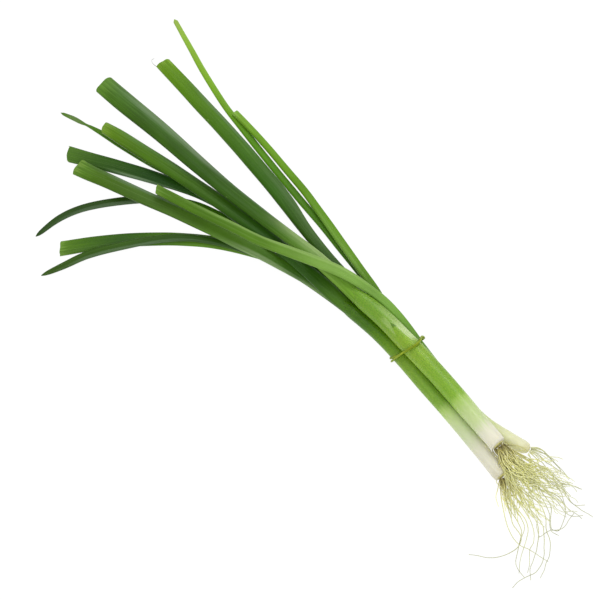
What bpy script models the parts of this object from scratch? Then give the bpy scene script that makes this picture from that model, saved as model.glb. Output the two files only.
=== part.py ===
# A bunch of three spring onions held by a rubber band, lying on a flat surface.
# Each onion has a shank, four leaves and a tuft of roots on a small root plate.
# +X runs along the shanks towards the roots and +Z points up. Lengths in the lists
# are millimetres, and places are measured from the spot of the surface under the band.

import math
import random

import bmesh
import bpy
from mathutils import Vector

MM = 0.001
BAND_SPOT = Vector((59.2, 50.5, 0.0))  # the spot under the band, in the part's own frame
UP = Vector((0.0, 0.0, 1.0))

SEAT_GAP = 0.3           # between a piece and what it grows from
SHANK_SIDES = 16
SHANK_RINGS = 18
WIDE_LEAF_SIDES = 12
THIN_LEAF_SIDES = 8
LEAF_RING_STEP = 13.0    # along a leaf
LEAF_WALL = 0.9          # of the hollow tube at a cut end
BORE_DEPTH = 24.0        # how far the hollow is open at a cut end

BAND_WIRE = 0.6          # radius of the rubber strand
BAND_GAP = 0.35          # between the strand and the shanks
BAND_FOOT_X = -4.2       # where the band's loop would meet the surface
BAND_LEAN = 0.42         # how far the loop leans towards the roots for its height
BAND_SKEW = 0.05         # how far it leans towards the roots for its place along Y
BAND_POINTS = 96         # along both turns
RIM_POINTS = 48          # round each section that the band is drawn tight over
BAND_SIDE_SHIFT = 0.95   # of each turn along the shanks where they lie side by side
BAND_LIFT = 1.5          # of the outer turn over the inner one at the top

PLATE_LENGTH = 2.4
PLATE_PROFILE = [(0.0, 0.95), (0.35, 1.0), (0.75, 0.8), (1.0, 0.45)]  # share of length, of radius
PLATE_SIDES = 12
ROOT_SIDES = 3
ROOT_SEGMENTS = 9
ROOT_THICK = 0.52        # radius where a root leaves its plate
ROOT_THIN = 0.42         # radius at a root's tip
FIRST_SWING = 0.4        # share of a root's own direction in the way it leaves its plate
ROOT_SIDE_SPREAD = 0.75  # share of the plate's radius that the roots leave from, sideways
ROOT_HIGH_SPREAD = 0.6   # and the same upwards and downwards
ROOT_RISE = (-0.15, 0.25)
ROOT_END_HEIGHT = (0.5, 2.5)

WHITE_SHANK = (0.72, 0.78, 0.55, 1.0)
DARK_LEAF = (0.06, 0.16, 0.03, 1.0)
LIGHT_LEAF = (0.16, 0.34, 0.05, 1.0)
ROOT_CREAM = (0.55, 0.52, 0.25, 1.0)
BAND_OLIVE = (0.33, 0.35, 0.05, 1.0)

# Shanks, from the root end to the neck: x, y, z, radius.
# The undersides of a and c are level with the surface from x 60 to x 90.
SHANKS = {
    "shank_a": [
        (95.2, -8.3, 4.2, 3.0),
        (94.4, -8.3, 4.2, 3.9),
        (92.0, -8.1, 4.16, 4.45),
        (86.0, -7.6, 4.16, 4.5),
        (75.0, -6.9, 4.2, 4.55),
        (60.0, -6.1, 4.25, 4.6),
        (40.0, -5.6, 4.7, 4.6),
        (20.0, -5.4, 5.4, 4.65),
        (0.0, -5.3, 6.8, 4.65),
        (-20.0, -6.1, 7.3, 4.5),
        (-32.0, -7.7, 7.8, 4.4),
        (-42.0, -9.2, 8.1, 4.3),
    ],
    "shank_b": [
        (81.6, 0.4, 13.2, 3.2),
        (80.8, 0.4, 13.2, 4.3),
        (78.6, 0.4, 13.2, 5.1),
        (72.0, 0.4, 13.5, 5.35),
        (60.0, 0.5, 14.0, 5.45),
        (40.0, 0.95, 14.5, 5.7),
        (20.0, 1.0, 15.2, 5.8),
        (0.0, 0.4, 16.0, 5.9),
        (-20.0, -0.2, 16.2, 5.7),
        (-30.0, -1.2, 16.4, 5.5),
        (-40.0, -2.5, 16.6, 5.2),
    ],
    "shank_c": [
        (91.8, 15.0, 4.2, 2.7),
        (91.0, 14.7, 4.2, 3.5),
        (89.0, 13.8, 4.05, 4.05),
        (84.5, 12.0, 4.15, 4.25),
        (78.0, 9.8, 4.15, 4.4),
        (70.0, 7.2, 4.15, 4.5),
        (62.0, 5.6, 4.1, 4.45),
        (50.0, 4.9, 4.3, 4.4),
        (40.0, 5.1, 4.6, 4.4),
        (20.0, 5.6, 5.4, 4.45),
        (0.0, 6.7, 6.7, 4.5),
        (-20.0, 7.4, 6.2, 4.4),
        (-36.0, 7.6, 5.8, 4.2),
    ],
}

# Leaves, from the base inside the shank to the tip: x, y, z, width, thickness.
# cut is how much further the leaf's +Y edge reaches than its -Y edge at a cut end,
# and a leaf without it ends in a point. Each leaf is seated on its shank and on the
# older leaves named in seated_on.
LEAVES = {
    "leaf_a_main": {
        "shank": "shank_a", "seated_on": [], "cut": 1.5, "sides": WIDE_LEAF_SIDES,
        "route": [
            (-34.0, -8.0, 7.9, 6.5, 6.5),
            (-43.0, -9.4, 8.2, 8.0, 7.2),
            (-60.0, -12.0, 10.0, 8.8, 5.5),
            (-80.0, -14.7, 12.3, 8.2, 4.6),
            (-100.0, -17.8, 13.9, 8.8, 4.4),
            (-121.0, -21.5, 14.3, 9.2, 4.4),
            (-151.0, -27.7, 13.5, 9.5, 4.4),
            (-182.0, -34.5, 11.5, 9.4, 4.4),
            (-203.0, -39.6, 10.0, 9.4, 4.6),
            (-224.0, -44.8, 8.5, 9.2, 4.8),
            (-237.6, -48.6, 7.5, 8.0, 4.8),
        ],
    },
    "leaf_a_broad": {
        "shank": "shank_a", "seated_on": ["leaf_a_main"], "cut": -1.0, "sides": WIDE_LEAF_SIDES,
        "route": [
            (-36.0, -9.0, 6.6, 4.6, 2.8),
            (-60.0, -12.6, 5.3, 5.8, 3.0),
            (-80.0, -18.0, 7.0, 7.2, 3.5),
            (-103.0, -26.4, 9.2, 9.0, 4.0),
            (-122.0, -35.0, 10.8, 9.4, 4.2),
            (-142.0, -42.9, 11.0, 9.5, 4.3),
            (-162.5, -51.6, 10.5, 9.4, 4.3),
            (-183.0, -60.8, 9.8, 9.7, 4.3),
            (-203.5, -69.5, 9.0, 9.9, 4.5),
            (-224.0, -78.7, 8.0, 10.0, 4.7),
        ],
    },
    "leaf_a_low": {
        "shank": "shank_a", "seated_on": ["leaf_a_main", "leaf_a_broad"], "cut": -2.1,
        "sides": WIDE_LEAF_SIDES,
        "route": [
            (-36.0, -8.2, 6.0, 3.6, 2.6),
            (-60.0, -7.4, 2.1, 4.6, 2.8),
            (-80.0, -12.4, 1.9, 5.0, 3.0),
            (-100.0, -21.4, 1.9, 6.6, 3.2),
            (-118.0, -32.2, 1.9, 7.8, 3.4),
            (-135.0, -45.2, 1.9, 8.3, 3.6),
            (-148.3, -59.0, 1.9, 8.7, 3.8),
            (-158.4, -71.6, 1.9, 9.0, 3.9),
            (-168.5, -85.6, 1.9, 9.2, 4.0),
            (-178.5, -101.6, 1.95, 9.6, 4.1),
            (-188.0, -119.2, 2.0, 9.9, 4.4),
        ],
    },
    "leaf_a_point": {
        "shank": "shank_a", "seated_on": ["leaf_a_main", "leaf_a_broad", "leaf_a_low"], "cut": None,
        "sides": THIN_LEAF_SIDES,
        "route": [
            (-36.0, -10.0, 6.0, 3.2, 2.4),
            (-60.0, -12.6, 2.1, 4.2, 2.6),
            (-80.0, -17.6, 2.6, 4.2, 2.6),
            (-100.0, -25.0, 4.7, 4.2, 2.6),
            (-118.0, -34.6, 5.6, 4.2, 2.6),
            (-130.0, -42.8, 5.8, 4.4, 2.7),
            (-142.6, -54.0, 5.9, 4.6, 2.8),
            (-154.4, -70.2, 5.9, 5.0, 2.9),
            (-165.6, -92.6, 5.6, 5.6, 2.9),
            (-173.0, -109.5, 4.2, 5.2, 2.9),
            (-176.8, -124.2, 2.8, 4.6, 2.7),
            (-180.7, -139.0, 1.4, 1.6, 1.5),
        ],
    },
    "leaf_b_main": {
        "shank": "shank_b", "seated_on": [], "cut": 1.4, "sides": WIDE_LEAF_SIDES,
        "route": [
            (-32.0, -1.5, 16.4, 8.0, 8.0),
            (-41.0, -2.7, 16.6, 9.8, 9.0),
            (-60.0, -4.6, 17.5, 9.4, 6.2),
            (-80.0, -7.2, 19.0, 9.0, 5.2),
            (-98.5, -11.0, 20.0, 8.6, 4.8),
            (-118.0, -14.8, 20.3, 9.0, 4.6),
            (-148.0, -19.7, 19.8, 9.8, 4.6),
            (-178.5, -23.1, 18.5, 11.4, 4.7),
            (-199.5, -24.9, 17.0, 12.4, 4.8),
            (-220.5, -27.0, 15.5, 13.3, 4.9),
            (-241.0, -29.5, 14.0, 13.7, 5.0),
            (-260.6, -31.5, 12.5, 13.6, 5.4),
        ],
    },
    "leaf_b_over": {
        "shank": "shank_b", "seated_on": [], "cut": 2.4, "sides": WIDE_LEAF_SIDES,
        "route": [
            (13.0, 5.6, 13.6, 2.4, 2.8),
            (3.0, 7.5, 12.9, 3.0, 3.0),
            (-6.0, 8.0, 13.5, 4.0, 3.2),
            (-18.0, 7.8, 15.7, 4.9, 3.4),
            (-30.0, 6.4, 18.8, 5.4, 3.4),
            (-40.0, 3.7, 21.4, 5.6, 3.4),
            (-50.0, 0.2, 23.8, 6.4, 3.4),
            (-60.0, -3.8, 24.9, 7.0, 3.4),
            (-75.0, -11.3, 25.0, 7.3, 3.4),
            (-90.0, -19.0, 24.0, 7.2, 3.4),
            (-107.0, -27.2, 22.5, 6.8, 3.4),
            (-128.0, -35.0, 21.0, 6.6, 3.4),
            (-148.4, -42.7, 19.5, 6.5, 3.4),
            (-177.0, -52.7, 17.5, 6.0, 3.6),
        ],
    },
    "leaf_b_under": {
        "shank": "shank_b", "seated_on": ["leaf_b_main"], "cut": 0.0, "sides": WIDE_LEAF_SIDES,
        "route": [
            (-32.0, -2.0, 14.0, 4.0, 3.2),
            (-45.0, -3.0, 11.6, 4.8, 3.3),
            (-60.0, -3.9, 8.8, 5.0, 3.3),
            (-80.0, -6.4, 6.6, 5.2, 3.3),
            (-105.0, -11.2, 5.8, 5.6, 3.4),
            (-130.0, -19.0, 5.8, 6.0, 3.4),
            (-160.0, -29.2, 5.8, 6.6, 3.6),
            (-176.0, -36.8, 5.3, 7.6, 3.8),
            (-196.0, -48.2, 4.2, 9.2, 4.0),
            (-211.0, -57.4, 3.2, 9.8, 4.1),
            (-226.0, -67.1, 2.6, 9.8, 4.2),
            (-239.0, -75.4, 2.4, 9.4, 4.1),
        ],
    },
    "leaf_b_thread": {
        "shank": "shank_b", "seated_on": ["leaf_b_main", "leaf_b_under"], "cut": None,
        "sides": THIN_LEAF_SIDES,
        "route": [
            (-32.0, -0.2, 13.6, 2.4, 2.2),
            (-46.0, 0.0, 10.6, 2.6, 2.3),
            (-60.0, -0.2, 7.4, 2.8, 2.3),
            (-80.0, -2.0, 4.4, 2.8, 2.3),
            (-105.0, -6.2, 3.2, 2.8, 2.3),
            (-130.0, -13.4, 2.4, 2.8, 2.3),
            (-165.0, -26.2, 2.1, 2.8, 2.2),
            (-200.0, -39.6, 2.0, 2.8, 2.2),
            (-222.0, -46.2, 1.9, 3.2, 2.1),
            (-242.0, -51.5, 1.8, 2.9, 1.9),
            (-251.0, -55.4, 1.7, 2.2, 1.8),
            (-266.4, -61.4, 1.2, 1.5, 1.4),
        ],
    },
    "leaf_c_main": {
        "shank": "shank_c", "seated_on": [], "cut": 0.5, "sides": WIDE_LEAF_SIDES,
        "route": [
            (-29.0, 7.5, 5.8, 5.5, 5.5),
            (-38.0, 7.0, 5.7, 7.2, 6.6),
            (-50.0, 5.2, 5.7, 6.2, 4.8),
            (-64.0, 3.9, 5.6, 5.8, 4.0),
            (-84.0, 3.7, 5.4, 6.8, 4.0),
            (-104.5, 5.1, 5.2, 8.0, 4.1),
            (-125.0, 7.7, 4.6, 10.0, 4.2),
            (-155.0, 9.9, 3.6, 10.4, 4.4),
            (-185.5, 10.8, 2.8, 10.5, 4.6),
            (-226.0, 11.0, 2.25, 10.2, 4.6),
            (-255.0, 10.7, 2.3, 9.6, 4.8),
        ],
    },
    "leaf_c_side": {
        "shank": "shank_c", "seated_on": ["leaf_c_main"], "cut": -0.5, "sides": WIDE_LEAF_SIDES,
        "route": [
            (-29.0, 8.6, 6.8, 3.6, 2.8),
            (-44.0, 11.2, 6.8, 5.0, 2.9),
            (-64.0, 13.7, 6.4, 5.2, 3.0),
            (-84.0, 16.4, 5.9, 5.2, 3.0),
            (-104.5, 19.1, 5.4, 5.1, 3.0),
            (-125.0, 21.3, 5.0, 4.9, 3.0),
            (-155.0, 22.9, 4.5, 4.5, 3.1),
            (-175.0, 23.4, 4.2, 4.4, 3.2),
            (-196.5, 23.2, 4.0, 4.2, 3.3),
        ],
    },
    "leaf_c_point": {
        "shank": "shank_c", "seated_on": ["leaf_c_main", "leaf_c_side"], "cut": None,
        "sides": THIN_LEAF_SIDES,
        "route": [
            (-29.0, 8.8, 4.8, 3.2, 2.6),
            (-44.0, 10.6, 3.6, 3.8, 2.6),
            (-64.0, 12.8, 2.7, 4.2, 2.6),
            (-84.0, 14.4, 2.3, 4.4, 2.7),
            (-104.5, 15.8, 2.1, 4.6, 2.8),
            (-125.0, 16.6, 1.9, 4.7, 2.8),
            (-155.0, 18.3, 1.7, 4.6, 2.9),
            (-185.5, 20.6, 1.5, 4.5, 2.9),
            (-206.0, 22.4, 1.4, 4.2, 2.8),
            (-236.0, 27.7, 1.3, 3.6, 2.4),
            (-256.0, 32.2, 1.3, 3.1, 2.2),
            (-277.6, 37.2, 1.1, 2.1, 1.7),
        ],
    },
    "leaf_c_under": {
        "shank": "shank_c", "seated_on": ["leaf_c_main"], "cut": None,
        "sides": WIDE_LEAF_SIDES,
        "route": [
            (-29.0, 6.2, 4.6, 3.4, 2.6),
            (-46.0, 3.0, 2.5, 4.2, 2.8),
            (-64.0, -1.2, 1.9, 4.6, 2.8),
            (-85.0, -6.8, 1.9, 4.8, 2.8),
            (-105.0, -13.6, 1.9, 5.0, 2.8),
            (-130.0, -23.4, 1.9, 5.2, 2.9),
            (-156.0, -33.8, 1.8, 5.5, 3.0),
            (-170.0, -43.4, 1.7, 5.6, 3.1),
            (-182.5, -56.5, 1.6, 5.2, 3.2),
            (-195.0, -75.9, 1.5, 4.6, 3.0),
            (-202.6, -92.0, 1.5, 4.3, 2.9),
            (-205.7, -107.6, 1.4, 3.7, 2.7),
            (-204.6, -125.6, 1.2, 1.8, 1.6),
        ],
    },
}

# Root tufts: the sector of directions in degrees that the roots' ends spread over,
# how far they reach, how much they turn on towards their ends, and how soon they sag
# to the surface.
ROOT_TUFTS = {
    "roots_a": {
        "shank": "shank_a", "seed": 11, "count": 18, "sector": (-33.0, -9.0),
        "reach": (34.0, 68.0), "turn_on": (-42.0, 5.0), "sag": 0.5,
    },
    "roots_b": {
        "shank": "shank_b", "seed": 23, "count": 18, "sector": (0.0, 17.0),
        "reach": (32.0, 60.0), "turn_on": (-22.0, 6.0), "sag": 0.8,
    },
    "roots_c": {
        "shank": "shank_c", "seed": 37, "count": 8, "sector": (20.0, 33.0),
        "reach": (16.0, 38.0), "turn_on": (-40.0, 10.0), "sag": 0.5,
    },
}


def clear_scene():
    for obj in list(bpy.data.objects):
        bpy.data.objects.remove(obj, do_unlink=True)


def new_collection(name):
    collection = bpy.data.collections.new(name)
    bpy.context.scene.collection.children.link(collection)
    return collection


def plain_material(name, color, roughness):
    material = bpy.data.materials.new(name)
    material.use_nodes = True
    shader = material.node_tree.nodes["Principled BSDF"]
    shader.inputs["Base Color"].default_value = color
    shader.inputs["Roughness"].default_value = roughness
    shader.inputs["Metallic"].default_value = 0.0
    return material


def smooth_rows(rows, count):
    # Reads a smooth curve through the rows at evenly spaced lengths. The first three
    # values of a row are its place, and the others follow along.
    knots = [0.0]
    for before, after in zip(rows, rows[1:]):
        knots.append(knots[-1] + math.dist(before[:3], after[:3]))
    slopes = []
    for i in range(len(rows)):
        low = max(i - 1, 0)
        high = min(i + 1, len(rows) - 1)
        span = knots[high] - knots[low]
        slopes.append([(b - a) / span for a, b in zip(rows[low], rows[high])])
    result = []
    for step in range(count):
        at = knots[-1] * step / (count - 1)
        i = 0
        while i < len(rows) - 2 and at > knots[i + 1]:
            i += 1
        span = knots[i + 1] - knots[i]
        u = (at - knots[i]) / span
        start = 2 * u**3 - 3 * u**2 + 1
        leave = (u**3 - 2 * u**2 + u) * span
        end = 3 * u**2 - 2 * u**3
        arrive = (u**3 - u**2) * span
        result.append([
            start * a + leave * m + end * b + arrive * n
            for a, m, b, n in zip(rows[i], slopes[i], rows[i + 1], slopes[i + 1])
        ])
    return result


def route_length(rows):
    return sum(math.dist(a[:3], b[:3]) for a, b in zip(rows, rows[1:]))


def ring_frames(rows):
    # Gives the middle, the direction along, the level direction across and the third
    # direction of the section at each row.
    middles = [Vector(row[:3]) for row in rows]
    frames = []
    for i, middle in enumerate(middles):
        along = middles[min(i + 1, len(rows) - 1)] - middles[max(i - 1, 0)]
        along.normalize()
        across = UP.cross(along).normalized()
        frames.append((middle, along, across, along.cross(across)))
    return frames


def section_ring(mesh, frame, width, thick, sides, shift=0.0, floor=None):
    # One ring of a tube. shift moves its two edges along the tube, one forward and one
    # back, and floor is the level that the ring is pressed flat against.
    middle, along, across, lift = frame
    ring = []
    for k in range(sides):
        angle = 2 * math.pi * k / sides
        point = middle + across * (width / 2 * math.cos(angle)) + lift * (thick / 2 * math.sin(angle))
        point += along * (shift / 2 * math.cos(angle))
        if floor is not None:
            point.z = max(point.z, floor)
        ring.append(mesh.verts.new(point))
    return ring


def bridge(mesh, rings):
    for ring, following in zip(rings, rings[1:]):
        for k in range(len(ring)):
            nxt = (k + 1) % len(ring)
            mesh.faces.new((ring[k], ring[nxt], following[nxt], following[k]))


def finish_mesh(name, mesh):
    mesh.faces.ensure_lookup_table()
    bmesh.ops.triangulate(mesh, faces=list(mesh.faces))
    bmesh.ops.recalc_face_normals(mesh, faces=list(mesh.faces))
    for vert in mesh.verts:
        vert.co = (vert.co + BAND_SPOT) * MM
    data = bpy.data.meshes.new(name)
    mesh.to_mesh(data)
    mesh.free()
    return data


def place_object(name, data, collection, material=None):
    obj = bpy.data.objects.new(name, data)
    if material:
        data.materials.append(material)
    collection.objects.link(obj)
    return obj


def mark_cutter(obj):
    obj.hide_render = True
    obj.display_type = "WIRE"


def shank_mesh(name, grow=0.0):
    rows = smooth_rows(SHANKS[name], SHANK_RINGS)
    # The rounded root end keeps its own closely spaced rows.
    rounded = [list(row) for row in SHANKS[name][:3]]
    rows = rounded + [row for row in rows if row[0] < rounded[-1][0] - 2.0]
    frames = ring_frames(rows)
    floor = None if grow else 0.0
    mesh = bmesh.new()
    rings = []
    for i, (row, frame) in enumerate(zip(rows, frames)):
        middle, along, across, lift = frame
        end_shift = {0: -grow, len(rows) - 1: grow}.get(i, 0.0)
        frame = (middle + along * end_shift, along, across, lift)
        size = 2 * (row[3] + grow)
        rings.append(section_ring(mesh, frame, size, size, SHANK_SIDES, 0.0, floor))
    bridge(mesh, rings)
    mesh.faces.new(rings[0])
    mesh.faces.new(rings[-1])
    return finish_mesh(name, mesh)


def leaf_mesh(name, grow=0.0):
    leaf = LEAVES[name]
    count = max(8, round(route_length(leaf["route"]) / LEAF_RING_STEP))
    rows = smooth_rows(leaf["route"], count)
    frames = ring_frames(rows)
    floor = None if grow else 0.0
    sides = leaf["sides"]
    slant = leaf["cut"] or 0.0
    mesh = bmesh.new()
    rings = []
    for i, (row, frame) in enumerate(zip(rows, frames)):
        middle, along, across, lift = frame
        last = i == len(rows) - 1
        end_shift = grow if last else 0.0
        shift = -slant if last else 0.0
        frame = (middle + along * end_shift, along, across, lift)
        rings.append(section_ring(
            mesh, frame, row[3] + 2 * grow, row[4] + 2 * grow, sides, shift, floor))
    bridge(mesh, rings)
    mesh.faces.new(rings[0])
    if leaf["cut"] is None or grow:
        mesh.faces.new(rings[-1])
    else:
        # The hollow of the tube, open at the cut and closed BORE_DEPTH behind it.
        bore_rings = [rings[-1]]
        steps = round(BORE_DEPTH / LEAF_RING_STEP) + 1
        for back in range(steps):
            i = len(rows) - 1 - back
            row = rows[i]
            shift = -slant if back == 0 else 0.0
            bore_rings.append(section_ring(
                mesh, frames[i], row[3] - 2 * LEAF_WALL, row[4] - 2 * LEAF_WALL,
                sides, shift, LEAF_WALL))
        bridge(mesh, bore_rings)
        mesh.faces.new(bore_rings[-1])
    return finish_mesh(name, mesh)


def keep_largest_body(data):
    # A cut can leave a loose scrap on the far side of a piece, which is dropped.
    mesh = bmesh.new()
    mesh.from_mesh(data)
    unseen = set(mesh.verts)
    bodies = []
    while unseen:
        start = unseen.pop()
        body = {start}
        todo = [start]
        while todo:
            vert = todo.pop()
            for edge in vert.link_edges:
                other = edge.other_vert(vert)
                if other in unseen:
                    unseen.remove(other)
                    body.add(other)
                    todo.append(other)
        bodies.append(body)
    bodies.sort(key=len)
    for body in bodies[:-1]:
        bmesh.ops.delete(mesh, geom=list(body), context="VERTS")
    mesh.to_mesh(data)
    mesh.free()


def bake_modifiers(obj):
    depsgraph = bpy.context.evaluated_depsgraph_get()
    depsgraph.update()
    old = obj.data
    data = bpy.data.meshes.new_from_object(obj.evaluated_get(depsgraph))
    obj.modifiers.clear()
    obj.data = data
    data.name = old.name
    bpy.data.meshes.remove(old)


def cut_away(obj, cutters):
    for cutter in cutters:
        cut = obj.modifiers.new("seat " + cutter.name, "BOOLEAN")
        cut.operation = "DIFFERENCE"
        cut.object = cutter
        cut.solver = "EXACT"
    bake_modifiers(obj)
    keep_largest_body(obj.data)


def make_shanks(parts, cutters):
    seats = {}
    for name in SHANKS:
        material = plain_material(name + "_skin", WHITE_SHANK, 0.35)
        place_object(name, shank_mesh(name), parts, material)
        seats[name] = place_object(name + "_seat", shank_mesh(name, SEAT_GAP), cutters)
        mark_cutter(seats[name])
    return seats


def make_leaves(parts, cutters, seats):
    for name, leaf in LEAVES.items():
        color = LIGHT_LEAF if name in ("leaf_b_over", "leaf_c_side", "leaf_c_point") else DARK_LEAF
        material = plain_material(name + "_skin", color, 0.4)
        obj = place_object(name, leaf_mesh(name), parts, material)
        seats[name] = place_object(name + "_seat", leaf_mesh(name, SEAT_GAP), cutters)
        mark_cutter(seats[name])
        cut_away(obj, [seats[leaf["shank"]]] + [seats[older] for older in leaf["seated_on"]])


def circle_at(rows, x):
    # The middle and radius of a routed round piece at a place along X.
    for before, after in zip(rows, rows[1:]):
        low, high = sorted((before[0], after[0]))
        if low <= x <= high:
            u = (x - before[0]) / (after[0] - before[0])
            mixed = [a + (b - a) * u for a, b in zip(before, after)]
            return mixed[1], mixed[2], mixed[3:]
    return None


def band_outline():
    # The taut loop round the shanks and the leaf that passes through the band with
    # them: the hull of their sections, pushed out by the strand.
    rims = []
    for name in SHANKS:
        y, z, size = circle_at(SHANKS[name], 0.0)
        rims.append((y, z, size[0], size[0]))
    y, z, size = circle_at(LEAVES["leaf_b_over"]["route"], 0.0)
    rims.append((y, z, size[0] / 2, size[1] / 2))
    reach = BAND_GAP + BAND_WIRE
    points = []
    for y, z, half_wide, half_high in rims:
        for k in range(RIM_POINTS):
            angle = 2 * math.pi * k / RIM_POINTS
            points.append((
                y + (half_wide + reach) * math.cos(angle),
                z + (half_high + reach) * math.sin(angle),
            ))
    points.sort()
    hull = []
    for ordered in (points, points[::-1]):
        chain = []
        for p in ordered:
            while len(chain) > 1 and turn(chain[-2], chain[-1], p) <= 0:
                chain.pop()
            chain.append(p)
        hull += chain[:-1]
    return hull


def turn(a, b, c):
    return (b[0] - a[0]) * (c[1] - a[1]) - (b[1] - a[1]) * (c[0] - a[0])


def even_points(loop, count):
    closed = loop + loop[:1]
    lengths = [0.0]
    for a, b in zip(closed, closed[1:]):
        lengths.append(lengths[-1] + math.dist(a, b))
    result = []
    i = 0
    for step in range(count):
        at = lengths[-1] * step / count
        while at > lengths[i + 1]:
            i += 1
        u = (at - lengths[i]) / (lengths[i + 1] - lengths[i])
        result.append(tuple(a + (b - a) * u for a, b in zip(closed[i], closed[i + 1])))
    return result


def make_band(parts):
    half = BAND_POINTS // 2
    outline = even_points(band_outline(), half)
    middle_y = sum(p[0] for p in outline) / half
    middle_z = sum(p[1] for p in outline) / half
    top = max(range(half), key=lambda k: outline[k][1])
    curve = bpy.data.curves.new("rubber_band_strand", "CURVE")
    curve.dimensions = "3D"
    curve.bevel_depth = BAND_WIRE * MM
    curve.bevel_resolution = 2
    spline = curve.splines.new("POLY")
    spline.points.add(BAND_POINTS - 1)
    spline.use_cyclic_u = True
    for k in range(BAND_POINTS):
        y, z = outline[k % half]
        out = Vector((0.0, y - middle_y, z - middle_z)).normalized()
        # Half a turn of phase over one loop: the turns lie on each other at the top
        # and side by side underneath.
        phase = math.pi * (k - top) / half
        point = Vector((BAND_FOOT_X + BAND_LEAN * z + BAND_SKEW * y, y, z))
        point.x += BAND_SIDE_SHIFT * math.sin(phase)
        point += out * BAND_LIFT * ((1 + math.cos(phase)) / 2)**2
        point = (point + BAND_SPOT) * MM
        spline.points[k].co = (point.x, point.y, point.z, 1.0)
    strand = bpy.data.objects.new("rubber_band_strand", curve)
    parts.objects.link(strand)
    depsgraph = bpy.context.evaluated_depsgraph_get()
    data = bpy.data.meshes.new_from_object(strand.evaluated_get(depsgraph))
    mesh = bmesh.new()
    mesh.from_mesh(data)
    bmesh.ops.remove_doubles(mesh, verts=list(mesh.verts), dist=0.00001)
    bmesh.ops.recalc_face_normals(mesh, faces=list(mesh.faces))
    mesh.to_mesh(data)
    mesh.free()
    band = place_object("rubber_band", data, parts, plain_material("rubber_band_skin", BAND_OLIVE, 0.45))
    band.matrix_world = strand.matrix_world
    bpy.data.objects.remove(strand, do_unlink=True)


def root_route(start, along, tuft, draw):
    # A root leaves its plate, swings into its own direction and sags to the surface.
    low, high = tuft["sector"]
    turn_to = math.radians(low + (high - low) * draw["place"])
    last_turn = turn_to + math.radians(draw["turn_on"])
    reach = draw["reach"]
    swing = Vector((math.cos(turn_to), math.sin(turn_to), 0.0))
    end = start + swing * reach
    end.z = draw["end_z"]
    leave = start + (along.lerp(swing, FIRST_SWING) + UP * draw["rise"]) * reach / 3
    arrive = end - Vector((math.cos(last_turn), math.sin(last_turn), 0.0)) * reach / 3
    arrive.z = max(draw["end_z"], start.z * (1 - tuft["sag"]))
    rows = []
    for k in range(ROOT_SEGMENTS + 1):
        u = k / ROOT_SEGMENTS
        v = 1 - u
        point = start * v**3 + leave * (3 * u * v**2) + arrive * (3 * u**2 * v) + end * u**3
        radius = ROOT_THICK + (ROOT_THIN - ROOT_THICK) * u
        rows.append((point.x, point.y, max(point.z, radius), radius))
    return rows


def root_mesh(name, rows):
    mesh = bmesh.new()
    rings = []
    for row, frame in zip(rows, ring_frames(rows)):
        rings.append(section_ring(mesh, frame, 2 * row[3], 2 * row[3], ROOT_SIDES))
    bridge(mesh, rings)
    mesh.faces.new(rings[0])
    mesh.faces.new(rings[-1])
    return finish_mesh(name, mesh)


def plate_place(tuft):
    # The middle of the shank's root end, and the direction that it looks in.
    rows = SHANKS[tuft["shank"]]
    end = Vector(rows[0][:3])
    along = (end - Vector(rows[1][:3])).normalized()
    return end, along, rows[0][3]


def plate_mesh(name, tuft):
    # The root plate is a low dome that stands off the end of the shank.
    end, along, radius = plate_place(tuft)
    across = UP.cross(along)
    mesh = bmesh.new()
    rings = []
    for forward, share in PLATE_PROFILE:
        middle = end + along * (SEAT_GAP + PLATE_LENGTH * forward)
        size = 2 * radius * share
        rings.append(section_ring(mesh, (middle, along, across, UP), size, size, PLATE_SIDES))
    bridge(mesh, rings)
    mesh.faces.new(rings[0])
    mesh.faces.new(rings[-1])
    return finish_mesh(name, mesh)


def make_roots(parts):
    for name, tuft in ROOT_TUFTS.items():
        random.seed(tuft["seed"])
        end, along, radius = plate_place(tuft)
        across = UP.cross(along)
        strands = new_collection(name + "_strands")
        for k in range(tuft["count"]):
            # The place in the sector also decides the side of the plate that a root
            # leaves from, so roots seldom cross.
            place = (k + 0.5) / tuft["count"]
            side = (2 * place - 1) * ROOT_SIDE_SPREAD * radius
            height = random.uniform(-ROOT_HIGH_SPREAD, ROOT_HIGH_SPREAD) * radius
            start = end + along * (SEAT_GAP + PLATE_LENGTH / 2) + across * side + UP * height
            draw = {
                "place": place,
                "reach": random.uniform(*tuft["reach"]),
                "rise": random.uniform(*ROOT_RISE),
                "end_z": random.uniform(*ROOT_END_HEIGHT),
                "turn_on": random.uniform(*tuft["turn_on"]),
            }
            rows = root_route(start, along, tuft, draw)
            place_object(f"{name}_{k:02d}", root_mesh(name, rows), strands)
        material = plain_material(name + "_skin", ROOT_CREAM, 0.6)
        plate = place_object(name, plate_mesh(name, tuft), parts, material)
        join = plate.modifiers.new("join roots", "BOOLEAN")
        join.operation = "UNION"
        join.operand_type = "COLLECTION"
        join.collection = strands
        join.solver = "EXACT"
        bake_modifiers(plate)
        keep_largest_body(plate.data)
        for strand in list(strands.objects):
            bpy.data.objects.remove(strand, do_unlink=True)
        bpy.data.collections.remove(strands)


def shade_round_pieces(parts):
    for obj in parts.objects:
        obj.data.shade_smooth()
        obj.data.set_sharp_from_angle(angle=math.radians(40.0))


def main():
    clear_scene()
    parts = new_collection("spring_onion_bunch")
    cutters = new_collection("cutters")
    seats = make_shanks(parts, cutters)
    make_leaves(parts, cutters, seats)
    for obj in list(cutters.objects):
        bpy.data.objects.remove(obj, do_unlink=True)
    bpy.data.collections.remove(cutters)
    make_band(parts)
    make_roots(parts)
    shade_round_pieces(parts)


main()
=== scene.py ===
import math
import random

import bpy
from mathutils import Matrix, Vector, noise


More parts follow.
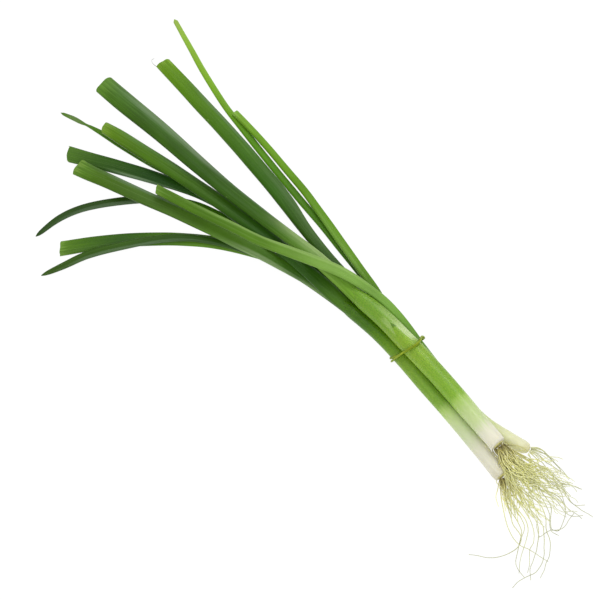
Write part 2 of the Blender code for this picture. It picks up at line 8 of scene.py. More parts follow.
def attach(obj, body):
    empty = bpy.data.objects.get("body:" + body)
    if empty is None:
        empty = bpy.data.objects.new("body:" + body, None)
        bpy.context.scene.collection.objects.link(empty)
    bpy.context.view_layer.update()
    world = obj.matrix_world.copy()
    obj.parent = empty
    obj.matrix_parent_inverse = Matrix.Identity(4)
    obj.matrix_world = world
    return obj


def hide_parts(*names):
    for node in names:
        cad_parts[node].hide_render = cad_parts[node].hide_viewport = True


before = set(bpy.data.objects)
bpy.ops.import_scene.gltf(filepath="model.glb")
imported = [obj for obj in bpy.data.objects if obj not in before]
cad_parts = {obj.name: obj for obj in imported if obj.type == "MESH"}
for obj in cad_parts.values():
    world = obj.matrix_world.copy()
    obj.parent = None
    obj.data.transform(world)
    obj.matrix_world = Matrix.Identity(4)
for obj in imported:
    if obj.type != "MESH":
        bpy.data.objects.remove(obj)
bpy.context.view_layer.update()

# All places below are in millimetres from the spot of the surface under the band.
mm = 0.001
bandSpot = Vector((59.2, 50.5, 0.0))
upward = Vector((0.0, 0.0, 1.0))


# small helpers for the finishes

def paint(red, green, blue):
    # screen colour, 0 to 255, to the linear colour that a shader takes
    linear = []
    for part in (red, green, blue):
        share = part / 255
        linear.append(share / 12.92 if share <= 0.04045 else ((share + 0.055) / 1.055) ** 2.4)
    return (*linear, 1.0)


skinSheen = 0.014       # what the gloss adds to the colour of glossy skin
skinDarkest = 0.0012


def skinPaint(red, green, blue):
    # the same for glossy green skin, less the pale sheen that the shader adds to it
    return (*[max(skinDarkest, part - skinSheen) for part in paint(red, green, blue)[:3]], 1.0)


class Value:
    # one socket, so that sums in a finish read as sums

    def __init__(self, finish, socket):
        self.finish = finish
        self.socket = socket

    def sum(self, operation, first, second):
        return self.finish.node("ShaderNodeMath", {"operation": operation}, {0: first, 1: second})

    def __add__(self, other):
        return self.sum("ADD", self, other)

    def __radd__(self, other):
        return self.sum("ADD", other, self)

    def __sub__(self, other):
        return self.sum("SUBTRACT", self, other)

    def __rsub__(self, other):
        return self.sum("SUBTRACT", other, self)

    def __mul__(self, other):
        return self.sum("MULTIPLY", self, other)

    def __rmul__(self, other):
        return self.sum("MULTIPLY", other, self)

    def __truediv__(self, other):
        return self.sum("DIVIDE", self, other)

    def __rtruediv__(self, other):
        return self.sum("DIVIDE", other, self)


class Finish:
    # one material and its node tree

    def __init__(self, name):
        self.material = bpy.data.materials.new(name)
        self.material.use_nodes = True
        self.tree = self.material.node_tree
        self.shader = self.tree.nodes["Principled BSDF"]

    def feed(self, socket, value):
        if isinstance(value, Value):
            self.tree.links.new(value.socket, socket)
        else:
            socket.default_value = value

    def node(self, kind, settings=None, sockets=None, out=0):
        made = self.tree.nodes.new(kind)
        for key, value in (settings or {}).items():
            if key == "stops":
                points = made.color_ramp.elements
                while len(points) < len(value):
                    points.new(0.5)
                for point, (place, color) in zip(points, value):
                    point.position = place
                for point, (place, color) in zip(points, value):
                    point.color = color
            else:
                setattr(made, key, value)
        for key, value in (sockets or {}).items():
            self.feed(made.inputs[key], value)
        return Value(self, made.outputs[out])

    def flow(self):
        # place in the section and along the piece, in millimetres
        vector = self.node("ShaderNodeAttribute", {"attribute_name": "flow"}, out="Vector")
        self.spot = [self.node("ShaderNodeSeparateXYZ", None, {0: vector}, out=k) for k in range(3)]
        return self.spot

    def grain(self, around, along, detail=3.0, shift=0.0):
        x, y, z = self.spot
        place = self.node("ShaderNodeCombineXYZ", None, {0: x * around, 1: y * around, 2: z * along + shift})
        return self.node("ShaderNodeTexNoise", None, {"Vector": place, "Scale": 1.0, "Detail": detail})

    def smooth(self, value, low, high, start=0.0, end=1.0):
        return self.node(
            "ShaderNodeMapRange", {"interpolation_type": "SMOOTHSTEP"},
            {"Value": value, "From Min": low, "From Max": high, "To Min": start, "To Max": end})

    def ramp(self, value, rows, tint=paint):
        # each row has a place from 0 to 1 and a screen colour
        stops = [(place, tint(*color)) for place, *color in rows]
        return self.node("ShaderNodeValToRGB", {"stops": stops}, {0: value})

    def mix(self, amount, first, second, blend="MIX"):
        return self.node(
            "ShaderNodeMix", {"data_type": "RGBA", "blend_type": blend, "clamp_factor": True},
            {0: amount, 6: first, 7: second}, out=2)

    def bump(self, height, strength, depth):
        return self.node("ShaderNodeBump", None, {"Strength": strength, "Distance": depth, "Height": height})

    def give(self, **sockets):
        for key, value in sockets.items():
            self.feed(self.shader.inputs[key.replace("_", " ")], value)
        return self.material


# small helpers for the shapes

def clamp(value):
    return min(1.0, max(0.0, value))


def ease(value):
    # from 0 to 1 with a soft start and a soft end
    held = clamp(value)
    return held * held * (3 - 2 * held)


def wobble(a, b, c):
    # a smooth unevenness, the same in every run
    return noise.noise(Vector((a, b, c)))


def circle(sides):
    # cosine and sine at even steps round a section
    angles = [2 * math.pi * k / sides for k in range(sides)]
    return [(math.cos(angle), math.sin(angle)) for angle in angles]


def degreesFrom(angle, at):
    # the shorter way round a section from a place on it
    return (math.degrees(angle) - at + 180) % 360 - 180


def routeLength(route):
    return sum(math.dist(a[:3], b[:3]) for a, b in zip(route, route[1:]))


def smoothRows(rows, count):
    # a smooth curve through given rows, read at even lengths
    knots = [0.0]
    for before, after in zip(rows, rows[1:]):
        knots.append(knots[-1] + math.dist(before[:3], after[:3]))
    slopes = []
    for i in range(len(rows)):
        low, high = max(i - 1, 0), min(i + 1, len(rows) - 1)
        slopes.append([(b - a) / (knots[high] - knots[low]) for a, b in zip(rows[low], rows[high])])
    result = []
    i = 0
    for step in range(count):
        at = knots[-1] * step / (count - 1)
        while i < len(rows) - 2 and at > knots[i + 1]:
            i += 1
        span = knots[i + 1] - knots[i]
        u = (at - knots[i]) / span
        weights = (
            2 * u**3 - 3 * u**2 + 1, (u**3 - 2 * u**2 + u) * span,
            3 * u**2 - 2 * u**3, (u**3 - u**2) * span)
        parts = zip(rows[i], slopes[i], rows[i + 1], slopes[i + 1])
        result.append([sum(w * value for w, value in zip(weights, part)) for part in parts])
    return result, knots[-1]


def axesAlong(rows):
    # middle, direction along, level direction across and the third direction, for each row
    middles = [Vector(row[:3]) for row in rows]
    found = []
    for i, middle in enumerate(middles):
        along = (middles[min(i + 1, len(rows) - 1)] - middles[max(i - 1, 0)]).normalized()
        across = upward.cross(along).normalized()
        found.append((middle, along, across, along.cross(across)))
    return found


def addObject(name, data):
    made = bpy.data.objects.new(name, data)
    bpy.context.scene.collection.objects.link(made)
    return made


def aim(thing, direction):
    thing.rotation_mode = "QUATERNION"
    thing.rotation_quaternion = direction.to_track_quat("-Z", "Y")


def makePiece(name, loft, material, node, smoothAngle=50.0):
    mesh = bpy.data.meshes.new(name)
    mesh.from_pydata([(point + bandSpot) * mm for point in loft.points], [], loft.faces)
    carried = mesh.attributes.new("flow", "FLOAT_VECTOR", "POINT")
    carried.data.foreach_set("vector", [value for spot in loft.flow for value in spot])
    mesh.materials.append(material)
    mesh.shade_smooth()
    mesh.set_sharp_from_angle(angle=math.radians(smoothAngle))
    piece = addObject(name, mesh)
    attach(piece, "root")
    if node:
        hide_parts(node)
    return piece


class Loft:
    # points and faces of one piece that is built ring by ring

    lowest = 0.03       # height of the lowest point above the surface

    def __init__(self):
        self.points, self.faces, self.flow = [], [], []

    def ring(self, spots):
        # adds the points with their flow, and gives their numbers back
        start = len(self.points)
        for point, flow in spots:
            point.z = max(point.z, self.lowest)
            self.points.append(point)
            self.flow.append(tuple(flow))
        return list(range(start, len(self.points)))

    def join(self, first, second):
        for k in range(len(first)):
            nxt = (k + 1) % len(first)
            self.faces.append((first[k], first[nxt], second[nxt], second[k]))

    def skin(self, rings):
        # faces from each ring to the next, and one over each of the two ends
        for first, second in zip(rings, rings[1:]):
            self.join(first, second)
        self.faces.append(tuple(reversed(rings[0])))
        self.faces.append(tuple(rings[-1]))


# leaves

leafLook = {
    "nerves": 0.1,      # strength of the thin pale nerves
    "nerve": (150, 184, 110),
    "specks": 0.35,
    "speck": (150, 180, 110),
    "inside": (150, 185, 95),
}


def leafFinish(name, look, length):
    finish = Finish(name + "_finish")
    x, y, z = finish.flow()
    seed = look["seed"] * 7.3
    share = z / length
    streak = finish.grain(0.9, 0.03, 3.0, seed)
    fine = finish.grain(3.4, 0.05, 2.0, seed + 3)
    broad = finish.grain(0.12, 0.05, 2.0, seed + 5)
    rib = finish.node("ShaderNodeMath", {"operation": "SINE"}, {0: x * look["ribs"]})
    color = finish.ramp(share + (streak - 0.5) * 0.1, look["colors"], skinPaint)
    shade = 1.0 + (streak - 0.5) * look["streaks"] + (fine - 0.5) * look["fine"]
    shade = shade + (broad - 0.5) * 0.4 + rib * 0.02
    color = finish.mix(1.0, color, shade, "MULTIPLY")
    roughness = 0.42 + (fine - 0.5) * 0.2
    for start, end, side, inner, outer, amount, waxAndHighlightColor in look["waxAndHighlights"]:
        # the dull grey-green wax, rubbed off in streaks, and with it a painted highlight along the lit side
        # and the top of the leaf
        fade = (end - start) * 0.35
        reach = finish.smooth(share, start, start + fade) * finish.smooth(share, end, end - fade)
        edge = finish.smooth(x * side + y * 0.4 + (streak - 0.5) * 2.0, inner, outer)
        waxAndHighlightMask = reach * edge * finish.smooth(streak + fine * 0.6, 0.5, 1.0, 0.4, 1.0) * amount
        color = finish.mix(waxAndHighlightMask, color, skinPaint(*waxAndHighlightColor))
        roughness = roughness + waxAndHighlightMask * 0.2
    # a few thin pale nerves, and pale pin-point specks
    nerve = finish.smooth(finish.grain(2.2, 0.012, 0.0, seed + 9), 0.66, 0.74)
    color = finish.mix(nerve * leafLook["nerves"], color, skinPaint(*leafLook["nerve"]))
    spread = finish.node("ShaderNodeCombineXYZ", None, {0: x * 0.2, 1: y * 0.2, 2: z * 0.075 + seed})
    away = finish.node("ShaderNodeTexVoronoi", {"feature": "F1"}, {"Vector": spread, "Scale": 1.0})
    speck = finish.smooth(away, 0.075, 0.03)
    color = finish.mix(speck * leafLook["specks"], color, skinPaint(*leafLook["speck"]))
    inside = finish.node("ShaderNodeAttribute", {"attribute_name": "inner"}, out="Fac")
    color = finish.mix(inside, color, skinPaint(*leafLook["inside"]))
    height = rib * 0.5 + fine * 0.8 + streak * 0.5
    return finish.give(
        Base_Color=color, Roughness=roughness, Normal=finish.bump(height, 0.25, 0.0002),
        Specular_IOR_Level=0.22)


leafShape = {
    "sides": 32,
    "ringStep": 2.0,
    "wall": 0.45,       # of the hollow tube
    "bore": 16.0,       # how far the hollow is open behind the cut
    "trim": 9.0,        # how far behind a cut its slant and rounding reach
    "channel": 0.1,     # how far the top is sunk, as a share of half the thickness
    "sway": 0.22,       # small unevenness, so that no edge is ruler straight
}

# what a leaf has unless its own dictionary says otherwise
usualLeaf = {
    "slot": "leaf",
    "cut": None,
    "ribs": 9.0,        # fine ribs, as radians for each millimetre across
    "streaks": 0.22,    # strength of the streaks in the colour
    "fine": 0.14,
    "corner": 0.0,      # how much rounder one corner of the cut is worn
    "creases": [],
    "waxAndHighlights": [],
}


def leafPoint(frameAxes, row, angle, leaf, share, grow=0.0):
    middle, along, across, lift = frameAxes
    width, thick = row[3] + 2 * grow, row[4] + 2 * grow
    c, s = math.cos(angle), math.sin(angle)
    # a flattened tube: fuller at its edges than an ellipse, and a little sunk along the top
    level = math.copysign(abs(s) ** 0.85, s)
    sink = leafShape["channel"] * (1 - abs(c)) ** 2 if s > 0 else 0.0
    x = width / 2 * c
    y = thick / 2 * (level - sink)
    for at, spread, height, start, end in leaf["creases"]:
        near = math.exp(-(degreesFrom(angle, at) / spread) ** 2)
        y += height * near * min(1.0, 8 * max(0.0, (share - start) * (end - share)) ** 0.5)
    return middle + across * x + lift * y, x, y


def cutPull(leaf, angle):
    # how far a point of the cut end is moved along the leaf: slant, rounding, a worn corner and a spur
    c = math.cos(angle)
    pull = -leaf["cut"] / 2 * c - leaf["round"] * c**6 + 0.12 * math.sin(5 * angle + leaf["seed"])
    pull -= leaf["corner"] * max(0.0, -c) ** 5
    if "spur" in leaf:
        spur = leaf["spur"]
        off = degreesFrom(angle, spur["at"]) / spur["spread"]
        pull += spur["length"] * math.exp(-off ** 2)
    return pull


def makeLeaf(name, leaf):
    leaf = {**usualLeaf, **leaf}
    sides = leafShape["sides"]
    count = max(12, round(routeLength(leaf["route"]) / leafShape["ringStep"]))
    rows, length = smoothRows(leaf["route"], count)
    axes = axesAlong(rows)
    loft = Loft()
    cut = leaf["cut"]
    step = length / (count - 1)
    angles = [2 * math.pi * k / sides for k in range(sides)]

    def sway(at, spot):
        return wobble(at / 23.0, leaf["seed"] * 3.1, spot) * leafShape["sway"] * clamp(at / 25.0)

    def spots(i, grow):
        row, (middle, along, across, lift) = rows[i], axes[i]
        at = step * i
        left = length - at
        moved = (middle + across * sway(at, 0.3) + lift * sway(at, 7.7) * 0.5, along, across, lift)
        size = list(row)
        size[3] *= 1 + 0.06 * sway(at, 4.1)
        found = []
        for angle in angles:
            point, x, y = leafPoint(moved, size, angle, leaf, at / length, grow)
            if cut is not None and left < leafShape["trim"]:
                weight = (1 - left / leafShape["trim"]) ** 2
                point += along * weight * cutPull(leaf, angle)
            found.append((point, (x, y, at)))
        return found

    rings = []
    for i in range(count):
        if cut is None and length - step * i < leaf["point"]:
            # a blunt rounded tip
            left = max(0.0, (length - step * i) / leaf["point"])
            narrow = math.sqrt(max(0.03, 1 - (1 - left) ** 2))
            rows[i][3] *= narrow
            rows[i][4] *= narrow
        rings.append(loft.ring(spots(i, 0.0)))
    outerCount = len(loft.points)
    if cut is not None:
        # the wall turns in at the cut, and the hollow ends on a skin further down
        deep = max(2, round(leafShape["bore"] / step))
        rings += [loft.ring(spots(count - 1 - k, -leafShape["wall"])) for k in range(deep)]
    loft.skin(rings)
    piece = makePiece(name + "_blade", loft, leafFinish(name, leaf, length), name)
    inside = piece.data.attributes.new("inner", "FLOAT", "POINT")
    inside.data.foreach_set("value", [0.0 if k < outerCount else 1.0 for k in range(len(loft.points))])
    return piece


# colours of the wax bloom; laid on the lit side and top of a leaf, they are partly painted highlight
greyWaxAndHighlight = (118, 140, 112)
greenWaxAndHighlight = (110, 148, 92)
paleWaxAndHighlight = (168, 190, 142)

# A route has x, y, height, width and thickness, from the shank to the end.
# A colour has its place, as a share of the route, and red, green and blue on the screen.
# A crease has its place round the section and spread in degrees, its height, and where it starts and ends.
# A bloom of wax and painted highlight has where it starts and ends, its side, where across it begins and is
# full, strength and colour.
# "cut" is the slant of the cut end, and "point" the length of a blunt tip.
leaves = {}

leaves["leaf_a_main"] = {
    "seed": 1, "cut": 1.5, "round": 1.0, "corner": 0.8, "ribs": 9.5,
    "creases": [(60, 20, 0.2, 0.3, 0.95)],
    # the dark stretch from 0.2 to 0.42 is painted shade, where this leaf runs under leaf_b_main and
    # leaf_b_over
    "colors": [
        (0, 92, 134, 42), (0.2, 56, 92, 20), (0.42, 54, 92, 8), (0.6, 64, 100, 18), (0.85, 78, 116, 24),
        (0.96, 92, 130, 32), (1, 118, 152, 55),
    ],
    "waxAndHighlights": [(0.55, 1.05, -1, 1.2, 3.6, 0.45, greenWaxAndHighlight)],
    "route": [
        (-28, -7.2, 7.7, 5.5, 5.5), (-34, -8, 7.9, 6.5, 6.5), (-43, -9.4, 8.2, 8, 7.2),
        (-60, -11.8, 10.2, 9.8, 5.8), (-80, -14.7, 12.3, 8.2, 4.6), (-100, -17.8, 13.9, 8.8, 4.4),
        (-121, -21.5, 14.3, 9.2, 4.4), (-151, -27.7, 13.5, 9.5, 4.4), (-182, -34.5, 11.5, 9.4, 4.4),
        (-203, -39.6, 10, 9.4, 4.6), (-224, -44.8, 8.5, 9.2, 4.8), (-237.6, -48.6, 7.5, 8, 4.8),
    ],
}

leaves["leaf_a_broad"] = {
    "seed": 2, "cut": -0.6, "round": 0.8,
    "creases": [(110, 24, 0.25, 0.2, 0.9)],
    "colors": [
        (0, 130, 166, 84), (0.12, 118, 156, 70), (0.24, 62, 104, 16), (0.45, 88, 128, 42),
        (0.75, 74, 106, 42), (0.93, 76, 110, 32), (0.98, 88, 126, 42), (1, 112, 146, 60),
    ],
    "waxAndHighlights": [(0.5, 1.0, -1, 2.2, 4.2, 0.75, greyWaxAndHighlight), (0.05, 0.55, 1, 2.2, 4.2, 0.5, paleWaxAndHighlight)],
    "route": [
        (-30, -8.2, 6.8, 4, 2.6), (-36, -9, 6.6, 4.6, 2.8), (-60, -12.6, 5.3, 5.8, 3),
        (-80, -18, 7, 7.2, 3.5), (-103, -26.4, 9.2, 9, 4), (-122, -35, 10.8, 9.4, 4.2),
        (-142, -42.9, 11, 9.5, 4.3), (-162.5, -51.6, 10.5, 9.4, 4.3), (-183, -60.8, 9.8, 9.7, 4.3),
        (-203.5, -69.5, 9, 10.1, 4.5), (-216, -74.9, 8.4, 10.8, 4.6), (-224.8, -78.2, 8, 11.6, 4.7),
    ],
}

leaves["leaf_a_low"] = {
    "seed": 3, "cut": -2.1, "round": 0.3,
    "colors": [
        (0, 114, 150, 60), (0.3, 92, 134, 34), (0.6, 86, 130, 30), (0.8, 56, 92, 18), (0.92, 70, 106, 28),
        (0.98, 84, 122, 36), (1, 110, 148, 58),
    ],
    "route": [
        (-30, -7.8, 6.2, 3.2, 2.4), (-36, -8.2, 6, 3.6, 2.6), (-60, -7.4, 2.1, 4.6, 2.8),
        (-80, -12.4, 1.9, 5, 3), (-100, -21.4, 1.9, 6.6, 3.2), (-118, -32.2, 1.9, 7.8, 3.4),
        (-135, -45.2, 1.9, 8.3, 3.6), (-148.3, -59, 1.9, 8.7, 3.8), (-158.4, -71.6, 1.9, 9, 3.9),
        (-168.5, -85.6, 1.9, 9.2, 4), (-178.5, -101.6, 1.95, 9.6, 4.1), (-188, -119.2, 2, 9.9, 4.4),
    ],
}

leaves["leaf_a_point"] = {
    "seed": 4, "point": 7.0, "ribs": 11.0, "streaks": 0.35, "fine": 0.2,
    "colors": [
        (0, 76, 112, 36), (0.35, 56, 88, 26), (0.6, 54, 84, 28), (0.85, 60, 90, 32), (1, 64, 92, 38),
    ],
    "waxAndHighlights": [(0.45, 1.0, 1, 1.2, 2.6, 0.4, greyWaxAndHighlight)],
    "route": [
        (-30, -9.2, 6.2, 3, 2.2), (-36, -10, 6, 3.2, 2.4), (-60, -12.6, 2.1, 4.2, 2.6),
        (-80, -17.6, 2.6, 4.2, 2.6), (-100, -25, 4.7, 4.2, 2.6), (-118, -34.6, 5.6, 4.2, 2.6),
        (-130, -42.8, 5.8, 4.4, 2.7), (-142.6, -54, 5.9, 4.6, 2.8), (-154.4, -70.2, 5.9, 5, 2.9),
        (-165.6, -92.6, 5.6, 5.6, 2.9), (-173, -109.5, 4.2, 5.2, 2.9), (-176.8, -124.2, 2.8, 4.6, 2.7),
        (-180.7, -139, 1.4, 2.4, 1.6),
    ],
}

leaves["leaf_b_main"] = {
    "seed": 5, "cut": 1.4, "round": 0.3, "corner": 1.2, "ribs": 7.5, "streaks": 0.55, "fine": 0.35,
    "creases": [(82, 10, -0.35, 0.3, 0.95), (60, 14, 0.2, 0.3, 0.95)],
    "colors": [
        (0, 118, 162, 54), (0.1, 112, 156, 52), (0.2, 122, 162, 66), (0.29, 92, 132, 46),
        (0.37, 64, 100, 28), (0.6, 58, 92, 24), (0.85, 62, 95, 30), (0.95, 74, 112, 38), (1, 98, 138, 52),
    ],
    # wax bloom with painted highlight along the lit edge
    "waxAndHighlights": [
        (0.08, 0.42, -1, -1.0, 3.8, 0.6, (176, 198, 140)),
        (0.5, 1.0, -1, 1.6, 5.0, 0.9, (122, 138, 110)),
        (0.28, 0.66, -1, 3.4, 5.2, 0.5, greyWaxAndHighlight),
        (0.6, 1.05, -1, -2.0, 5.0, 0.4, greenWaxAndHighlight),
    ],
    "route": [
        (-25, -0.9, 16.3, 7, 7), (-32, -1.5, 16.4, 8, 8), (-41, -2.7, 16.6, 9.8, 9),
        (-60, -4.6, 17.5, 9.4, 6.2), (-80, -7.2, 19, 9, 5.2), (-98.5, -11, 20, 8.6, 4.8),
        (-118, -14.8, 20.3, 9, 4.6), (-148, -19.7, 19.8, 9.8, 4.6), (-178.5, -23.1, 18.5, 11.4, 4.7),
        (-199.5, -24.9, 17, 12.4, 4.8), (-220.5, -27, 15.5, 13.3, 4.9), (-241, -29.5, 14, 13.7, 5),
        (-260.6, -31.5, 12.5, 13.6, 5.4),
    ],
}

leaves["leaf_b_over"] = {
    "seed": 6, "slot": "young_leaf", "cut": 2.4, "round": 0.2, "ribs": 11.0, "fine": 0.16,
    "creases": [(75, 18, -0.3, 0.2, 0.95)],
    "colors": [
        (0, 92, 138, 38), (0.2, 120, 163, 70), (0.42, 126, 166, 74), (0.62, 88, 127, 38),
        (0.8, 80, 118, 34), (0.96, 84, 123, 36), (1, 108, 144, 56),
    ],
    # a pale painted highlight along the upper edge, with a little wax
    "waxAndHighlights": [(0.15, 1.0, -1, 1.0, 3.0, 0.6, (158, 190, 112))],
    "route": [
        (13, 5.6, 13.6, 2.2, 2.6), (3, 7.5, 12.9, 3, 3), (-6, 8, 13.5, 4, 3.2), (-18, 7.8, 15.7, 4.9, 3.4),
        (-30, 6.4, 18.8, 5.4, 3.4), (-40, 3.7, 21.4, 5.6, 3.4), (-50, 0.2, 23.8, 6.4, 3.4),
        (-60, -3.8, 24.9, 7, 3.4), (-75, -11.3, 25, 7.3, 3.4), (-90, -19, 24, 7.2, 3.4),
        (-107, -27.2, 22.5, 6.8, 3.4), (-128, -35, 21, 6.6, 3.4), (-148.4, -42.7, 19.5, 6.5, 3.4),
        (-177, -52.7, 17.5, 6, 3.6),
    ],
}

leaves["leaf_b_under"] = {
    "seed": 7, "cut": 1.6, "round": 2.6,
    "spur": {"at": 168, "length": 2.6, "spread": 9.0},
    "creases": [(55, 16, -0.25, 0.55, 1.0)],
    "colors": [
        (0, 64, 104, 22), (0.35, 50, 88, 12), (0.6, 56, 98, 16), (0.75, 42, 74, 14), (0.92, 58, 92, 28),
        (1, 82, 120, 42),
    ],
    "waxAndHighlights": [(0.6, 0.9, 1, 3.2, 4.8, 0.7, (140, 165, 130))],
    "route": [
        (-26, -1.6, 14.6, 3.6, 3), (-32, -2, 14, 4, 3.2), (-45, -3.6, 11.6, 5.8, 3.5),
        (-60, -4.4, 8.8, 6, 3.5), (-80, -6.4, 6.6, 5.2, 3.3), (-105, -11.2, 5.8, 5.6, 3.4),
        (-130, -19, 5.8, 6, 3.4), (-160, -29.2, 5.8, 6.6, 3.6), (-176, -36.8, 5.3, 7.6, 3.8),
        (-196, -48.2, 4.2, 9.2, 4), (-211, -57.4, 3.2, 9.8, 4.1), (-226, -67.3, 2.6, 10.2, 4.2),
        (-239, -76, 2.4, 11, 4.1),
    ],
}

leaves["leaf_b_thread"] = {
    "seed": 8, "point": 3.0, "ribs": 16.0, "streaks": 0.4, "fine": 0.3,
    "colors": [
        (0, 74, 118, 26), (0.7, 70, 112, 26), (0.9, 80, 122, 34), (0.96, 104, 132, 74), (1, 88, 128, 44),
    ],
    "route": [
        (-26, -0.2, 14.2, 2.2, 2), (-32, -0.2, 13.6, 2.4, 2.2), (-46, 0, 10.6, 2.6, 2.3),
        (-60, -0.2, 7.4, 2.8, 2.3), (-80, -2, 4.4, 2.8, 2.3), (-105, -6.2, 3.2, 2.8, 2.3),
        (-130, -13.4, 2.4, 2.8, 2.3), (-165, -26.1, 2.1, 3, 2.2), (-200, -39.5, 2, 3.7, 2.2),
        (-222, -46, 1.9, 3.9, 2.1), (-238, -50.3, 1.8, 3.4, 1.9), (-246, -53, 1.8, 2.2, 1.5),
        (-249, -54.2, 1.7, 1.5, 1.2), (-252.5, -55.6, 1.6, 2.6, 1.5), (-257.5, -57.4, 1.5, 3, 1.5),
        (-262, -59.4, 1.3, 2.5, 1.3), (-266.4, -61.4, 1.2, 1.7, 1.1),
    ],
}

leaves["leaf_c_main"] = {
    "seed": 9, "cut": -0.7, "round": 0.0, "corner": 0.7, "streaks": 0.24, "fine": 0.14,
    "creases": [(100, 22, 0.2, 0.3, 1.0)],
    "colors": [
        (0, 76, 112, 32), (0.15, 56, 90, 22), (0.35, 60, 94, 26), (0.5, 60, 102, 20), (0.75, 76, 118, 22),
        (0.9, 90, 132, 24), (0.98, 104, 146, 34), (1, 124, 162, 55),
    ],
    "waxAndHighlights": [(0.15, 0.62, -1, 0.4, 3.6, 0.65, (100, 126, 82)), (0.55, 0.95, -1, 2.6, 4.8, 0.5, greyWaxAndHighlight)],
    "route": [
        (-22, 7.6, 6.2, 5, 5), (-29, 7.5, 5.8, 5.5, 5.5), (-38, 7, 5.7, 7.2, 6.6), (-50, 5.2, 5.7, 6.2, 4.8),
        (-64, 3.9, 5.6, 5.8, 4), (-84, 3.7, 5.4, 6.8, 4), (-104.5, 5.1, 5.2, 8, 4.1),
        (-125, 7.7, 4.6, 10, 4.2), (-155, 9.9, 3.6, 10.4, 4.4), (-185.5, 10.8, 2.8, 10.5, 4.6),
        (-226, 11, 2.25, 10.2, 4.6), (-255, 10.7, 2.3, 9.6, 4.8),
    ],
}

leaves["leaf_c_side"] = {
    "seed": 10, "slot": "young_leaf", "cut": -0.5, "round": 0.3, "ribs": 13.0, "fine": 0.16,
    "colors": [
        (0, 82, 124, 28), (0.3, 98, 144, 30), (0.6, 98, 145, 28), (0.85, 108, 154, 40),
        (0.97, 124, 168, 58), (1, 144, 186, 84),
    ],
    "waxAndHighlights": [(0.1, 0.6, 1, -0.5, 1.4, 0.45, (138, 178, 92))],
    "route": [
        (-22, 8.2, 6.8, 3.2, 2.6), (-29, 8.6, 6.8, 3.6, 2.8), (-44, 11.2, 6.8, 5, 2.9),
        (-64, 13.7, 6.4, 5.2, 3), (-84, 16.4, 5.9, 5.2, 3), (-104.5, 19.1, 5.4, 5.1, 3),
        (-125, 21.3, 5, 4.9, 3), (-155, 22.9, 4.5, 4.5, 3.1), (-175, 23.4, 4.2, 4.4, 3.2),
        (-196.5, 23.2, 4, 4.2, 3.3),
    ],
}

leaves["leaf_c_point"] = {
    "seed": 11, "slot": "young_leaf", "point": 0.8, "ribs": 13.0, "streaks": 0.35, "fine": 0.25,
    "colors": [
        (0, 74, 114, 22), (0.3, 76, 122, 18), (0.6, 90, 142, 22), (0.8, 126, 172, 44),
        (0.94, 144, 184, 66), (1, 158, 184, 88),
    ],
    "route": [
        (-22, 8.6, 5.6, 3, 2.4), (-29, 8.8, 4.8, 3.2, 2.6), (-44, 10.6, 3.6, 3.8, 2.6),
        (-64, 12.8, 2.7, 4.2, 2.6), (-84, 14.4, 2.3, 4.4, 2.7), (-104.5, 15.8, 2.1, 4.6, 2.8),
        (-125, 16.6, 1.9, 4.7, 2.8), (-155, 18.3, 1.7, 4.6, 2.9), (-185.5, 20.6, 1.5, 4.5, 2.9),
        (-206, 22.4, 1.4, 4.2, 2.8), (-236, 27.7, 1.3, 4, 2.4), (-256, 32.2, 1.3, 3.6, 2.2),
        (-277.2, 37, 1.15, 3, 1.9),
    ],
}

leaves["leaf_c_under"] = {
    "seed": 12, "point": 6.0, "ribs": 11.0, "streaks": 0.3, "fine": 0.2,
    # the bright stretch at 0.4 to 0.56 is painted lighter, a painted light that lifts the shade of the leaf
    # above it
    "colors": [
        (0, 78, 122, 24), (0.4, 84, 136, 26), (0.56, 80, 130, 26), (0.66, 54, 82, 30), (0.9, 50, 76, 32),
        (1, 54, 80, 38),
    ],
    "waxAndHighlights": [(0.6, 1.0, 1, 0.8, 2.4, 0.35, greyWaxAndHighlight)],
    "route": [
        (-22, 6.6, 5.4, 3, 2.4), (-29, 6.2, 4.6, 3.4, 2.6), (-46, 3, 2.5, 4.2, 2.8),
        (-64, -1.2, 1.9, 4.6, 2.8), (-85, -6.8, 1.9, 4.8, 2.8), (-105, -13.6, 1.9, 5, 2.8),
        (-130, -23.4, 1.9, 5.2, 2.9), (-156, -33.8, 1.8, 5.5, 3), (-170, -43.4, 1.7, 5.6, 3.1),
        (-182.5, -56.5, 1.6, 5.6, 3.2), (-195, -75.9, 1.5, 5.3, 3), (-202.6, -92, 1.5, 5, 2.9),
        (-205.7, -107.6, 1.4, 4.4, 2.7), (-204.6, -125.6, 1.2, 2.6, 1.8),
    ],
}

for leafName, leaf in leaves.items():
    makeLeaf(leafName, leaf)
print("leaves made:", len(leaves))

# a thin pale skin that curls off the cut of leaf_c_main: x, y, height and half width
film = {
    "route": [
        (-253.6, 7.4, 2.4, 0.45), (-255.4, 6.1, 2.4, 0.4), (-257.8, 5.5, 2.5, 0.3), (-259.9, 5.8, 2.6, 0.26),
        (-261, 6.9, 2.8, 0.24), (-260.5, 8.3, 3, 0.16),
    ],
    "thick": 0.1,       # half the thickness of the skin
    "rings": 22,
    "sides": 8,
    "colors": [(0.3, 112, 120, 106), (0.7, 160, 165, 150)],
}


